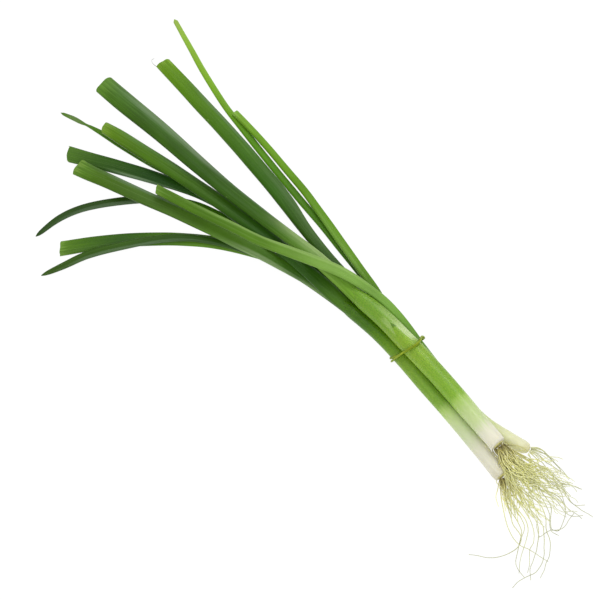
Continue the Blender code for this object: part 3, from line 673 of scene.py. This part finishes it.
def makeFilm():
    finish = Finish("cut_film_finish")
    finish.flow()
    tone = finish.grain(1.5, 0.8, 2.0)
    color = finish.ramp(tone, film["colors"])
    roughness = 0.4 + (tone - 0.5) * 0.2
    finish.give(Base_Color=color, Roughness=roughness, Normal=finish.bump(tone, 0.2, 0.0001))
    rows, _ = smoothRows(film["route"], film["rings"])
    loft = Loft()
    rings = []
    for i, (middle, along, across, lift) in enumerate(axesAlong(rows)):
        spots = []
        for c, s in circle(film["sides"]):
            spots.append((middle + lift * rows[i][3] * c + across * film["thick"] * s, (c, s, i * 0.4)))
        rings.append(loft.ring(spots))
    loft.skin(rings)
    makePiece("leaf_c_main_film", loft, finish.material, None)


makeFilm()


# shanks

# A row has x, y, height and radius, from the root end. A colour stands at its place along x.
# "rounded" is how many rows shape the root end, and "fuller" is added to every radius.
shanks = {}

shanks["shank_a"] = {
    "seed": 21, "sides": 48, "ringStep": 1.2, "rounded": 3, "fuller": 0.14,
    # the green stops at 20, 2 and -14 are painted lighter, a painted light against the shade that shank_b
    # casts on this side
    "colors": [
        (96, 216, 211, 188), (90, 227, 224, 205), (76, 223, 222, 201), (65, 208, 218, 178),
        (52, 197, 213, 157), (44, 180, 206, 124), (38, 132, 172, 66), (20, 128, 166, 60), (2, 124, 160, 50),
        (-14, 98, 140, 34), (-28, 78, 120, 26), (-44, 80, 120, 34),
    ],
    "rows": [
        (95.2, -8.3, 4.2, 3.3), (94.5, -8.3, 4.2, 4.05), (92, -8.1, 4.16, 4.45), (86, -7.6, 4.16, 4.5),
        (75, -6.9, 4.2, 4.55), (60, -6.1, 4.25, 4.6), (40, -5.6, 4.7, 4.6), (20, -5.4, 5.4, 4.65),
        (0, -5.3, 6.8, 4.65), (-20, -6.1, 7.3, 4.5), (-32, -7.7, 7.8, 4.4), (-42, -9.2, 8.1, 4.3),
        (-48, -10.1, 8.6, 3.2),
    ],
}

shanks["shank_b"] = {
    "seed": 22, "sides": 64, "ringStep": 0.8, "rounded": 3, "fuller": 0.0,
    "colors": [
        (82, 229, 225, 204), (77, 232, 229, 210), (71, 225, 225, 201), (65, 203, 217, 164),
        (54, 190, 211, 143), (47, 170, 202, 104), (43, 136, 178, 60), (24, 134, 174, 58), (10, 142, 178, 60),
        (-2, 142, 177, 58), (-22, 122, 162, 56), (-40, 118, 160, 54),
    ],
    "rows": [
        (81.6, 0.4, 13.2, 3.8), (80.9, 0.4, 13.2, 4.7), (78.6, 0.4, 13.2, 5.15), (72, 0.4, 13.5, 5.35),
        (60, 0.5, 14, 5.45), (40, 0.95, 14.5, 5.7), (20, 1, 15.2, 5.8), (0, 0.4, 16, 5.9),
        (-20, -0.2, 16.2, 5.7), (-30, -1.2, 16.4, 5.5), (-40, -2.5, 16.6, 5.2), (-48, -3.4, 16.9, 4),
    ],
}

shanks["shank_c"] = {
    "seed": 23, "sides": 48, "ringStep": 1.2, "rounded": 5, "fuller": -0.05,
    "colors": [
        (93, 220, 216, 174), (88, 229, 228, 194), (74, 220, 223, 180), (60, 196, 210, 142),
        (48, 150, 186, 90), (30, 112, 156, 60), (0, 104, 146, 62), (-36, 84, 128, 44),
    ],
    "rows": [
        (92.9, 15.3, 4.1, 0.6), (92.6, 15.2, 4.1, 1.9), (91.8, 14.9, 4.1, 2.9), (90.6, 14.5, 4.1, 3.6),
        (89, 13.8, 4.05, 4.05), (84.5, 12, 4.15, 4.2), (78, 9.8, 4.15, 4.4), (70, 7.2, 4.15, 4.5),
        (62, 5.6, 4.1, 4.45), (50, 4.9, 4.3, 4.4), (40, 5.1, 4.6, 4.4), (20, 5.6, 5.4, 4.45),
        (0, 6.7, 6.7, 4.5), (-20, 7.4, 6.2, 4.4), (-36, 7.6, 5.8, 4.2), (-42, 7.2, 5.7, 3),
    ],
}


# the mouth of the sheath of shank_b: a green tongue that ends in a point, beside thin pale skin
mouth = {
    "tip": -16.8,       # where the tongue ends, along the shank
    "side": 1.0,        # and where across
    "left": 3.4,        # how far its edges run back for each millimetre across
    "right": 8.0,
    "step": 0.28,       # how far the tongue stands proud of the pale skin
    "paleEnd": -34.0,   # where the pale skin ends
    "pale": (204, 222, 166),
    "tipShadow": (78, 118, 26),      # painted shadow in the small triangle in the tip of the tongue
}


def mouthColor(finish, color, spot, grains):
    # the tongue stays green, beside it lies the pale skin, and a painted shadow darkens the tip of the V
    along, x, y = spot
    streak, fine, broad = grains
    away = finish.node("ShaderNodeMath", {"operation": "ABSOLUTE"}, {0: x - mouth["side"]})
    onLeft = finish.node("ShaderNodeMath", {"operation": "GREATER_THAN"}, {0: x, 1: mouth["side"]})
    slope = onLeft * (mouth["left"] - mouth["right"]) + mouth["right"]
    behind = along - mouth["tip"] - away * slope + (fine - 0.5) * 2.0
    tongue = finish.smooth(behind, -0.5, 0.5)
    upper = finish.smooth(y, -1.0, 1.5)
    reach = finish.smooth(along, mouth["paleEnd"], -22.0) * 0.3 + finish.smooth(along, -20.0, -6.0) * 0.7
    reach = reach * finish.smooth(along, 4.0, -2.0)
    wander = (streak - 0.5) * 2.4 + (broad - 0.5) * 2.0
    right = reach * finish.smooth(x + wander, 1.4, -1.0)
    left = finish.smooth(x, 4.6, 3.2) * finish.smooth(along, -24.0, -18.0)
    left = left * finish.smooth(along, -5.0, -9.5)
    left = left * onLeft * 0.35
    most = finish.node("ShaderNodeMath", {"operation": "MAXIMUM"}, {0: right, 1: left})
    pale = most * upper * (1 - tongue) * (0.55 + fine * 0.4)
    color = finish.mix(pale, color, skinPaint(*mouth["pale"]))
    # painted shadow in the tip of the V, beside the step where the tongue stands proud
    tipShadow = finish.smooth(along - mouth["tip"] - away * 3.6, -0.2, 0.6)
    tipShadow = tipShadow * finish.smooth(along, -11.6, -13.0) * upper
    return finish.mix(tipShadow * 0.85, color, skinPaint(*mouth["tipShadow"]))


def shankFinish(name, shank, length):
    finish = Finish(name + "_finish")
    x, y, z = finish.flow()
    seed = shank["seed"] * 3.7
    start = shank["rows"][0][0]
    along = start - z
    streak = finish.grain(0.8, 0.02, 3.0, seed)
    fine = finish.grain(3.0, 0.04, 2.0, seed + 2)
    broad = finish.grain(0.15, 0.06, 2.0, seed + 4)
    share = (z + (streak - 0.5) * 14.0 + (fine - 0.5) * 4.0) / length
    stops = [(max(0.0, (start - place) / length), *color) for place, *color in shank["colors"]]
    color = finish.ramp(share, stops, skinPaint)
    # the marks are strong on the green and faint on the white
    green = finish.smooth(along, 62.0, 40.0, 0.3, 1.0)
    marks = (streak - 0.5) * 0.3 + (fine - 0.5) * 0.24 + (broad - 0.5) * 0.2
    color = finish.mix(1.0, color, 1.0 + marks * green, "MULTIPLY")
    roughness = 0.4 + (streak - 0.5) * 0.2
    if name == "shank_b":
        color = mouthColor(finish, color, (along, x, y), (streak, fine, broad))
    height = fine * 0.6 + streak * 0.6
    finish.give(Subsurface_Weight=0.7, Subsurface_Scale=0.005, Subsurface_Radius=(1.0, 1.0, 0.8))
    return finish.give(
        Base_Color=color, Roughness=roughness, Normal=finish.bump(height, 0.3, 0.00025),
        Specular_IOR_Level=0.3, Coat_Weight=0.04)


def mouthStep(along, x, y):
    # how far the surface stands out, one step higher on the tongue than beyond it
    slope = mouth["left"] if x > mouth["side"] else mouth["right"]
    behind = along - mouth["tip"] - abs(x - mouth["side"]) * slope
    raised = clamp(0.5 + behind / 0.9)
    fade = clamp(y / 2.0) * clamp((4.0 - x) / 1.5) * clamp((4.0 - along) / 8.0)
    return (raised - 1.0) * mouth["step"] * fade * clamp((along - mouth["paleEnd"]) / 12.0)


def makeShank(name, shank):
    rows = shank["rows"]
    end = shank["rounded"]
    body = rows[end - 1:]
    smooth, _ = smoothRows(body, round(routeLength(body) / shank["ringStep"]))
    smooth = smoothRows(rows[:end], 3 * end)[0][:-1] + smooth
    axes = axesAlong(smooth)
    loft = Loft()
    rings = []
    at = 0.0
    for i, (row, (middle, along, across, lift)) in enumerate(zip(smooth, axes)):
        if i:
            at += (middle - axes[i - 1][0]).length
        spots = []
        for c, s in circle(shank["sides"]):
            uneven = wobble(c * 0.9 + shank["seed"], s * 0.9, at / 18.0) * 0.1
            size = row[3] + shank["fuller"] + uneven
            if name == "shank_b":
                size += mouthStep(rows[0][0] - at, size * c, size * s)
            spots.append((middle + across * size * c + lift * size * s, (size * c, size * s, at)))
        rings.append(loft.ring(spots))
    loft.skin(rings)
    return makePiece(name + "_skin", loft, shankFinish(name, shank, at), name)


for shankName, shank in shanks.items():
    makeShank(shankName, shank)
print("shanks made:", len(shanks))


# roots

roots = {
    "sides": 5,
    "step": 1.5,        # along a root
    "thick": 0.3,       # radius where a root leaves its plate
    "thin": 0.19,       # radius at its end
    "farthest": 158.8,  # no root passes the longest one
    "edge": 22.0,       # beyond it across, a root is drawn in
    "drawnIn": 0.4,
    "span": 60.0,       # the length that the colours are spread over
    # the dark olive-brown at the plate end is partly the roots' own brown base and partly painted shade
    # between the crowded strands
    "colors": [
        (0, 120, 108, 54), (0.04, 170, 162, 94), (0.14, 226, 221, 152), (0.28, 240, 239, 168),
        (0.6, 226, 227, 172), (1, 202, 205, 170),
    ],
}

# The plate is a low knobbly dome: how far forward each ring is, and its share of the tuft's radius.
plate = {
    "rings": [(-0.9, 0.9), (-0.2, 1.0), (0.15, 0.85), (0.4, 0.6), (0.6, 0.3), (0.65, 0.1)],
    "sides": 24,
    "knobs": 0.16,
}

# The roots leave their plate within the sector and swing round to "meet", both in degrees. Their reach
# in millimetres is scaled by "lengths" from one side to the other, and they pile up to "pile". The plate
# has the colour at plateTone along a root, and the colours of the roots begin at paleFrom.
tufts = {}

tufts["roots_a"] = {
    "seed": 31, "count": 38, "middle": (95.5, -8.35, 4.2), "heading": (1.0, -0.03, 0.0), "radius": 2.9,
    "sector": (-40, 4), "meet": -14, "reach": (9, 38), "lengths": (0.42, 1.0), "pile": 2.8,
    "plateTone": 6.5, "paleFrom": 0.0,
    "long": [
        [(97, -10.2, 3.2), (101.5, -14.2, 1.6), (109, -19, 0.8), (116.5, -23.4, 0.5), (125, -26.6, 0.4),
         (132.4, -27.4, 0.6), (139, -24.7, 0.9), (146.3, -22.5, 0.6), (151.4, -21, 0.4)],
        [(97.4, -9.6, 3.8), (106.8, -14.8, 1.4), (115, -18.7, 0.7), (121.5, -21.7, 0.5),
         (130.2, -23.3, 0.9), (133.5, -28, 0.9), (133.3, -34.6, 0.5), (130.5, -42.9, 0.4),
         (124.3, -49.2, 0.3), (119.6, -53.7, 0.3)],
        [(97.6, -8.9, 4.2), (108.3, -12.9, 1.8), (116.8, -14.9, 0.8), (124.6, -16.3, 0.5),
         (127.5, -18.3, 0.4), (131.5, -24.5, 0.4), (132.6, -27, 0.4)],
        [(97.8, -8.4, 4.8), (110.3, -10.4, 2.4), (118.7, -11.2, 1.2), (126.5, -12.6, 0.8),
         (132.1, -15.4, 0.6), (137.3, -19.9, 0.5), (139.3, -24.4, 0.9), (144.9, -29.8, 0.5),
         (148.7, -34.7, 0.4)],
        [(97.8, -7.8, 5.2), (111, -6.9, 3.2), (121.2, -8, 1.6), (128.9, -8.2, 1), (134.4, -9.8, 0.7),
         (143.7, -17.5, 0.9), (149.4, -24.1, 0.6), (151.4, -31.2, 0.4), (150, -38.5, 0.3),
         (150.4, -47.4, 0.3)],
        [(97.6, -7.2, 5), (112.4, -4.6, 3.6), (119.7, -2.1, 2.4), (127.7, -3.2, 1.4), (135.4, -8.5, 0.8),
         (144.7, -13.5, 0.6), (151.2, -21.9, 1), (156.3, -31.2, 0.4)],
        [(97.8, -8.6, 4.4), (106, -11.6, 2.4), (115, -13.6, 1.2), (124, -14.2, 0.7), (131, -19, 0.5),
         (136, -26, 0.4), (141, -33, 0.3), (146.5, -39, 0.3)],
        [(97.6, -9.3, 3.6), (105, -13.6, 1.5), (113, -17, 0.7), (122, -18.4, 0.5), (128, -21, 0.4),
         (134, -28.6, 0.4), (139, -35, 0.3), (145.6, -38, 0.3), (149.8, -38, 0.4)],
        [(97.6, -9, 4.6), (107, -9.6, 3), (116, -10.2, 1.6), (125, -9.2, 1), (133, -12.4, 0.7),
         (140, -19.4, 0.5), (145, -26.6, 0.4), (149, -32.6, 0.3), (153.6, -36, 0.3)],
    ],
}

tufts["roots_b"] = {
    "seed": 32, "count": 112, "middle": (81.9, 0.4, 13.2), "heading": (1.0, 0.03, 0.0), "radius": 3.5,
    "sector": (-26, 17), "meet": 18, "reach": (18, 66), "lengths": (1.0, 0.72), "pile": 8.0,
    "plateTone": 6.5, "paleFrom": 0.0,
    "long": [
        [(79.8, -3, 10.2), (81.2, -3.7, 9.8), (82.6, -3.9, 9.4), (85.4, -3.8, 9), (87.8, -4, 8.8),
         (90.7, -4.9, 8.4), (94.6, -6.2, 7.6), (101, -9, 5), (108, -13, 2.6), (116, -19, 1)],
        [(80.6, -2.4, 10.6), (82.8, -3, 9.6), (85.6, -2.9, 9), (88, -3.2, 8.8), (90.9, -4.1, 8.4),
         (94.8, -5.4, 7.6), (102, -8.6, 4.8), (110, -13.6, 2)],
        [(81.4, -2.6, 11.4), (83.2, -2.8, 10.6), (86, -3, 9.8), (88.8, -3.6, 9.4), (92.2, -4.6, 8.8),
         (97, -7, 6.8), (104, -11.8, 3.6), (111, -17.4, 1.4)],
        [(82, -3, 12.4), (84.4, -3.2, 11.2), (86.6, -3.6, 10.4), (89.4, -4.4, 9.8), (92.8, -5.4, 9.2),
         (95.6, -6.2, 8.4), (103, -9.5, 5), (110, -14, 2.5), (118, -20, 1)],
        [(82.4, -2.2, 12), (86, -2.8, 9.5), (90, -3, 7.5), (95, -3.4, 5.5), (101, -5, 3.5), (108, -8, 2),
         (116, -12, 1)],
        [(82.4, -1.8, 11.4), (87, -2.4, 8), (92, -2.6, 5.6), (98, -3, 4), (106, -4, 2.6), (115, -3, 1.6),
         (124, -6, 1)],
        [(82.4, -2.6, 12.8), (86.5, -3.4, 10.8), (91, -3.6, 8.8), (96, -4.6, 6.8), (103, -7, 4.6),
         (110, -12, 2.6), (118, -17, 1.2)],
        [(82.4, -2.8, 13.4), (86, -3.8, 11.8), (90, -3.8, 10.4), (95, -3.6, 8.4), (101, -3.8, 6.2),
         (108, -6.4, 3.6), (116, -9.4, 1.6)],
        [(82.4, -1.4, 10.9), (86, -2, 7.4), (90, -2.8, 4.6), (95, -3.6, 2.8), (101, -4.4, 1.8),
         (108, -5.4, 1.2), (115, -8, 0.8)],
        [(84, 0.6, 13.6), (98, 3.6, 9), (108, 4.6, 6), (119.2, 3.5, 3), (126.4, 2.6, 1.6),
         (137.1, -6.3, 0.6), (140.8, -2.5, 0.9), (139.6, 5.1, 0.6), (138.3, 10.5, 0.4)],
        [(84, 1, 13), (100, 4.6, 8), (116.2, 5.6, 4), (126.7, 10, 2), (133.1, 8.1, 1.2), (138.1, 3.2, 0.6),
         (140.9, -3.7, 0.5), (138.1, -6.6, 0.9), (136.2, -15.8, 0.4)],
        [(84, 1.6, 13.6), (101, 9.4, 8), (110, 13.8, 5), (119.4, 16.4, 2), (130.4, 13.2, 0.9),
         (134.9, 14.6, 0.6), (138.5, 19.1, 0.4)],
        [(84, 1.4, 12.2), (104, 8.2, 6.4), (123.4, 12.9, 2), (131, 10, 1), (137.2, 10.4, 0.6),
         (144, 12, 0.4)],
        [(84, 1.8, 14.2), (104, 11, 7), (119.7, 14, 3), (126, 15.2, 1.6), (132.1, 13.9, 0.8),
         (140.1, 15.5, 0.5), (146.9, 17.6, 0.4)],
        [(84, 2, 14.6), (100, 10.8, 8), (112, 15.6, 4), (119.1, 16.7, 2), (124.5, 20.6, 0.8),
         (130.1, 26.6, 0.4)],
        [(84, 2.4, 13.4), (88, 9.6, 10), (94, 13.6, 7), (98.7, 16.1, 5), (103, 17.6, 3.4), (105.4, 20, 2),
         (105.6, 22.6, 1.2)],
        [(84, -0.4, 12.8), (98, -1.8, 8), (110, -1, 4.6), (121, 1.4, 2.2), (130, -1.6, 1),
         (137.4, -6.8, 0.6), (143, -6, 0.4)],
        [(84, 0.2, 12.4), (99, 1, 7.4), (114, 3.8, 4.2), (127, 7.4, 1.8), (135, 6.8, 0.8),
         (139.6, 8.6, 0.5), (142.6, 13.6, 0.4)],
    ],
}

tufts["roots_c"] = {
    "seed": 33, "count": 9, "middle": (91.9, 15.2, 3.2), "heading": (0.93, 0.37, 0.0), "radius": 2.0,
    "sector": (-20, 60), "meet": 14, "reach": (8, 26), "lengths": (1.0, 0.7), "pile": 2.0,
    "plateTone": 14.0, "paleFrom": 46.0,
    "long": [
        [(92.6, 17, 3.2), (94.6, 20.6, 1.8), (98.4, 22.9, 1), (102.8, 23.4, 0.7), (107, 23, 0.6),
         (112.4, 22.6, 0.5), (115, 20.4, 0.4)],
        [(92.8, 16.8, 3), (96, 20, 1.6), (101, 22.2, 0.9), (107, 24, 0.5), (113.8, 24.6, 0.5),
         (117.2, 24.3, 0.4), (120.9, 23.9, 0.4)],
        [(93, 16.2, 2.8), (99, 18.6, 1.4), (104, 19, 0.8), (109, 20.8, 0.5), (116, 22, 0.4)],
    ],
}


def rootFinish(name):
    finish = Finish(name + "_finish")
    x, y, z = finish.flow()
    tone = finish.grain(0.6, 0.08, 2.0)
    color = finish.ramp((z + (tone - 0.5) * 12.0) / roots["span"], roots["colors"])
    # x carries each root's tone, darker on the long lone roots as painted shade
    color = finish.mix(1.0, color, 1.0 + (tone - 0.5) * 0.5 + x * 0.05, "MULTIPLY")
    finish.give(Subsurface_Weight=0.4, Subsurface_Scale=0.001, Subsurface_Radius=(1.0, 1.0, 0.6))
    return finish.give(
        Base_Color=color, Roughness=0.5 + (tone - 0.5) * 0.2, Normal=finish.bump(tone, 0.3, 0.0002))


def addStrand(loft, rows, tone, at):
    # one root: a thin tapering tube, its colour place measured from the plate
    rings = []
    for i, (middle, along, across, lift) in enumerate(axesAlong(rows)):
        if i:
            at += math.dist(rows[i][:3], rows[i - 1][:3])
        radius = rows[i][3]
        spots = []
        for c, s in circle(roots["sides"]):
            spots.append((middle + across * radius * c + lift * radius * s, (tone, tone * 1.7, at)))
        rings.append(loft.ring(spots))
    loft.skin(rings)


def settle(row, u, thick):
    # the radius tapers, and a root neither sinks into the surface nor passes the longest one
    row[3] = thick + (roots["thin"] - thick) * u**0.9
    row[2] = max(row[2], row[3] + 0.04)
    row[0] = min(row[0], roots["farthest"])
    if row[1] > roots["edge"]:
        row[1] = roots["edge"] + (row[1] - roots["edge"]) * roots["drawnIn"]
    return row


def growStrand(tuft, start, angle, reach, draw):
    # a root feels its way out of the plate, swings back towards the others and droops
    spin = draw.uniform(0, 100)
    meet = math.radians(tuft["meet"] + draw.gauss(0, 11))
    rest = draw.uniform(0.15, 1.0) * tuft["pile"]
    drop = draw.uniform(0.3, 0.8)
    thick = roots["thick"] * draw.uniform(0.7, 1.1)
    curl = draw.uniform(0.5, 1.5)
    count = max(10, round(reach / roots["step"]))
    place = start.copy()
    rows = []
    for i in range(count + 1):
        u = i / count
        at = reach * u
        turn = angle + (meet - angle) * ease(at / 24.0)
        turn += curl * clamp(at / 8.0) * wobble(at / 4.5, spin, 1.5)
        turn += 1.1 * clamp(at / 30.0) * wobble(at / 14.0, spin, 6.5)
        place += Vector((math.cos(turn), math.sin(turn), 0)) * (reach / count)
        height = start.z + (rest - start.z) * ease(u / drop) - max(0.0, u - drop) * rest * 1.1
        height += 1.2 * clamp(u * 4) * wobble(at / 5.0, spin, 3.5)
        rows.append(settle([place.x, place.y, height, 0.0], u, thick))
    return rows


def laidStrand(points, seed):
    # one of the long roots, through its own places
    length = routeLength(points)
    rows, _ = smoothRows([(*point, 0.0) for point in points], round(length / roots["step"]))
    for i, row in enumerate(rows):
        u = i / (len(rows) - 1)
        at = length * u
        row[0] += 0.7 * u * wobble(at / 6.0, seed, 1.5)
        row[1] += 0.7 * u * wobble(at / 6.0, seed, 8.5)
        settle(row, u, roots["thick"] * 1.15)
    return rows


def addPlate(loft, tuft, middle, heading, across):
    # the root plate that the roots grow from
    rings = []
    for forward, share in plate["rings"]:
        spots = []
        for k, (c, s) in enumerate(circle(plate["sides"])):
            knob = plate["knobs"] * wobble(k * 0.9, forward * 2.0, tuft["seed"])
            size = tuft["radius"] * share * (1 + knob)
            out = across * size * c + upward * size * s
            spots.append((middle + heading * forward + out, (k * 0.1, forward, tuft["plateTone"])))
        rings.append(loft.ring(spots))
    loft.skin(rings)


def makeTuft(name, tuft):
    draw = random.Random(tuft["seed"])
    middle = Vector(tuft["middle"])
    heading = Vector(tuft["heading"]).normalized()
    across = upward.cross(heading)
    loft = Loft()
    addPlate(loft, tuft, middle, heading, across)
    for k in range(tuft["count"]):
        place = (k + draw.random()) / tuft["count"]
        spin = draw.uniform(0, 2 * math.pi)
        spread = draw.uniform(0.2, 0.95) * tuft["radius"]
        side = (0.7 * (2 * place - 1) + 0.3 * math.cos(spin)) * spread
        start = middle + across * side + upward * math.sin(spin) * spread * 0.9
        low, high = tuft["sector"]
        angle = math.radians(low + (high - low) * place + draw.gauss(0, 7))
        short, far = tuft["reach"]
        first, last = tuft["lengths"]
        reach = (short + (far - short) * draw.random() ** 0.7) * (first + (last - first) * place)
        rows = growStrand(tuft, start, angle, reach, draw)
        addStrand(loft, rows, draw.uniform(-3, 3), tuft["paleFrom"])
    # the long lone roots get a darker tone than the crowded ones, a painted shade that evens out the more
    # light they get
    for k, points in enumerate(tuft["long"]):
        addStrand(loft, laidStrand(points, 90 + k), draw.uniform(-6, -3), tuft["paleFrom"])
    return makePiece(name + "_strands", loft, rootFinish(name), name, smoothAngle=75.0)


for tuftName, tuft in tufts.items():
    makeTuft(tuftName, tuft)
print("root tufts made:", len(tufts))


# rubber band

band = {
    "strand": 0.6,      # radius
    "gap": 0.08,        # between the strand and the skins
    "foot": -4.2,       # where the loop would meet the surface
    "lean": 0.42,       # how far it leans towards the roots for its height
    "skew": 0.05,
    "apart": 0.95,      # of each turn where the two lie side by side
    "lift": 1.35,       # of the outer turn where it lies on the inner one
    "hang": 2.4,        # how far the loop hangs back on the side towards +Y
    "leafInside": (7.7, 13.1, 1.6),     # leaf_b_over where it passes through: y, height, radius
    "count": 220,
    "sides": 16,
    "colors": [(0.3, 118, 140, 6), (0.7, 152, 172, 18)],
}


def bandFinish():
    finish = Finish("rubber_band_finish")
    finish.flow()
    tone = finish.grain(0.5, 0.25, 3.0)
    grit = finish.grain(4.0, 4.0, 2.0, 5.0)
    color = finish.ramp(tone, band["colors"])
    return finish.give(
        Base_Color=color, Roughness=0.5 + (tone - 0.5) * 0.3, Normal=finish.bump(grit, 0.25, 0.0001),
        Specular_IOR_Level=0.3)


def bandOutline(count):
    # the taut loop round the three shanks and the leaf that passes through with them
    circles = []
    for shank in shanks.values():
        row = min(shank["rows"], key=lambda r: abs(r[0]))
        circles.append((row[1], row[2], row[3]))
    circles.append(band["leafInside"])
    edge = []
    for c, s in circle(count):
        reach = max(y * c + z * s + size for y, z, size in circles)
        edge.append(reach + band["gap"] + band["strand"])
    # the loop's corner points from neighbouring tangent lines
    loop = []
    turn = 2 * math.pi / count
    for k, (c, s) in enumerate(circle(count)):
        a, b = edge[k], edge[(k + 1) % count]
        over = (b - a * math.cos(turn)) / math.sin(turn)
        loop.append((a * c - over * s, a * s + over * c))
    return evenLoop(loop, count)


def evenLoop(loop, count):
    # the same loop with its points at even lengths
    closed = loop + loop[:1]
    ends = [0.0]
    for a, b in zip(closed, closed[1:]):
        ends.append(ends[-1] + math.dist(a, b))
    even = []
    i = 0
    for step in range(count):
        at = ends[-1] * step / count
        while at > ends[i + 1]:
            i += 1
        u = (at - ends[i]) / max(ends[i + 1] - ends[i], 1e-9)
        even.append([a + (b - a) * u for a, b in zip(closed[i], closed[i + 1])])
    return even


def makeBand():
    half = band["count"] // 2
    loop = bandOutline(half)
    centre = [sum(p[k] for p in loop) / half for k in range(2)]
    top = max(range(half), key=lambda k: loop[k][1])
    middles = []
    for k in range(band["count"]):
        y, z = loop[k % half]
        out = Vector((0.0, y - centre[0], z - centre[1])).normalized()
        phase = math.pi * (k - top) / half
        # the turns part widely towards -Y, and hardly towards +Y, where the loop hangs back
        fork = 1.0 - 0.75 * out.y
        point = Vector((band["foot"] + band["lean"] * z + band["skew"] * y, y, z))
        point.x += band["apart"] * fork * math.sin(phase) ** 3
        point.x -= band["hang"] * clamp((y - 3.0) / 6.0) ** 1.5 * clamp((z - 12.0) / 5.0)
        point += out * band["lift"] * ((1 + math.cos(phase)) / 2) ** 2
        middles.append(point)
    loft = Loft()
    rings = []
    at = 0.0
    for k, middle in enumerate(middles):
        along = (middles[(k + 1) % len(middles)] - middles[k - 1]).normalized()
        side = along.cross(Vector((1, 0, 0))).normalized()
        other = along.cross(side)
        at += (middle - middles[k - 1]).length if k else 0.0
        spots = []
        for c, s in circle(band["sides"]):
            size = band["strand"] * (1 + 0.05 * wobble(at / 3.0, c, s))
            point = middle + side * size * c + other * size * s
            spots.append((point, (c * size, s * size, at)))
        rings.append(loft.ring(spots))
    for first, second in zip(rings, rings[1:] + rings[:1]):
        loft.join(first, second)
    return makePiece("rubber_band_loop", loft, bandFinish(), "rubber_band")


makeBand()
print("band made")


# stage, light and camera

stage = {
    "floor": 6.0,       # metres across
    "tone": 0.1,        # of the floor
    "glow": 0.95,       # of the floor, so that shadows stay faint
    "sky": 0.6,
    "lights": {
        # place and width in metres, and watts
        "key": ((-0.4, 0.8, 1.5), 1.0, 9.5),
        "fill": ((0.62, -0.6, 1.45), 1.2, 8.0),
    },
}


def makeStage():
    mesh = bpy.data.meshes.new("floor")
    half = stage["floor"] / 2
    corners = [(-half, -half, 0), (half, -half, 0), (half, half, 0), (-half, half, 0)]
    mesh.from_pydata(corners, [], [(0, 1, 2, 3)])
    finish = Finish("floor_finish")
    finish.give(Base_Color=(*[stage["tone"]] * 3, 1.0), Roughness=0.9, Specular_IOR_Level=0.0)
    finish.give(Emission_Color=(1.0, 1.0, 1.0, 1.0), Emission_Strength=stage["glow"])
    mesh.materials.append(finish.material)
    floor = addObject("floor", mesh)


def makeLight(name, spot, size, power):
    # a round lamp that shines on the middle of the stage
    lamp = bpy.data.lights.new(name, "AREA")
    lamp.shape = "DISK"
    lamp.size = size
    lamp.energy = power
    holder = addObject(name, lamp)
    holder.location = spot
    aim(holder, -Vector(spot))


makeStage()
for lightName, (spot, size, power) in stage["lights"].items():
    makeLight(lightName, spot, size, power)
world = bpy.data.worlds.new("studio")
world.use_nodes = True
sky = world.node_tree.nodes["Background"].inputs
sky["Color"].default_value = (1, 1, 1, 1)
sky["Strength"].default_value = stage["sky"]
bpy.context.scene.world = world
bpy.context.scene.view_settings.view_transform = "Standard"

view = {
    "target": Vector((-64.9, -30.2, 12.0)),     # seen at the middle of the picture
    "back": Vector((0.3537, -0.2842, 0.891)),   # from the target towards the camera
    "distance": 1500.0,
    "lens": 150.0,
    "sensor": 36.0,
    "near": 0.05,       # metres
    "far": 20.0,
}
lens = bpy.data.cameras.new("camera")
lens.lens = view["lens"]
lens.sensor_width = view["sensor"]
lens.clip_start = view["near"]
lens.clip_end = view["far"]
camera = addObject("camera", lens)
camera.location = (view["target"] + bandSpot + view["back"] * view["distance"]) * mm
aim(camera, -view["back"])
bpy.context.scene.camera = camera
print("stage, light and camera set")
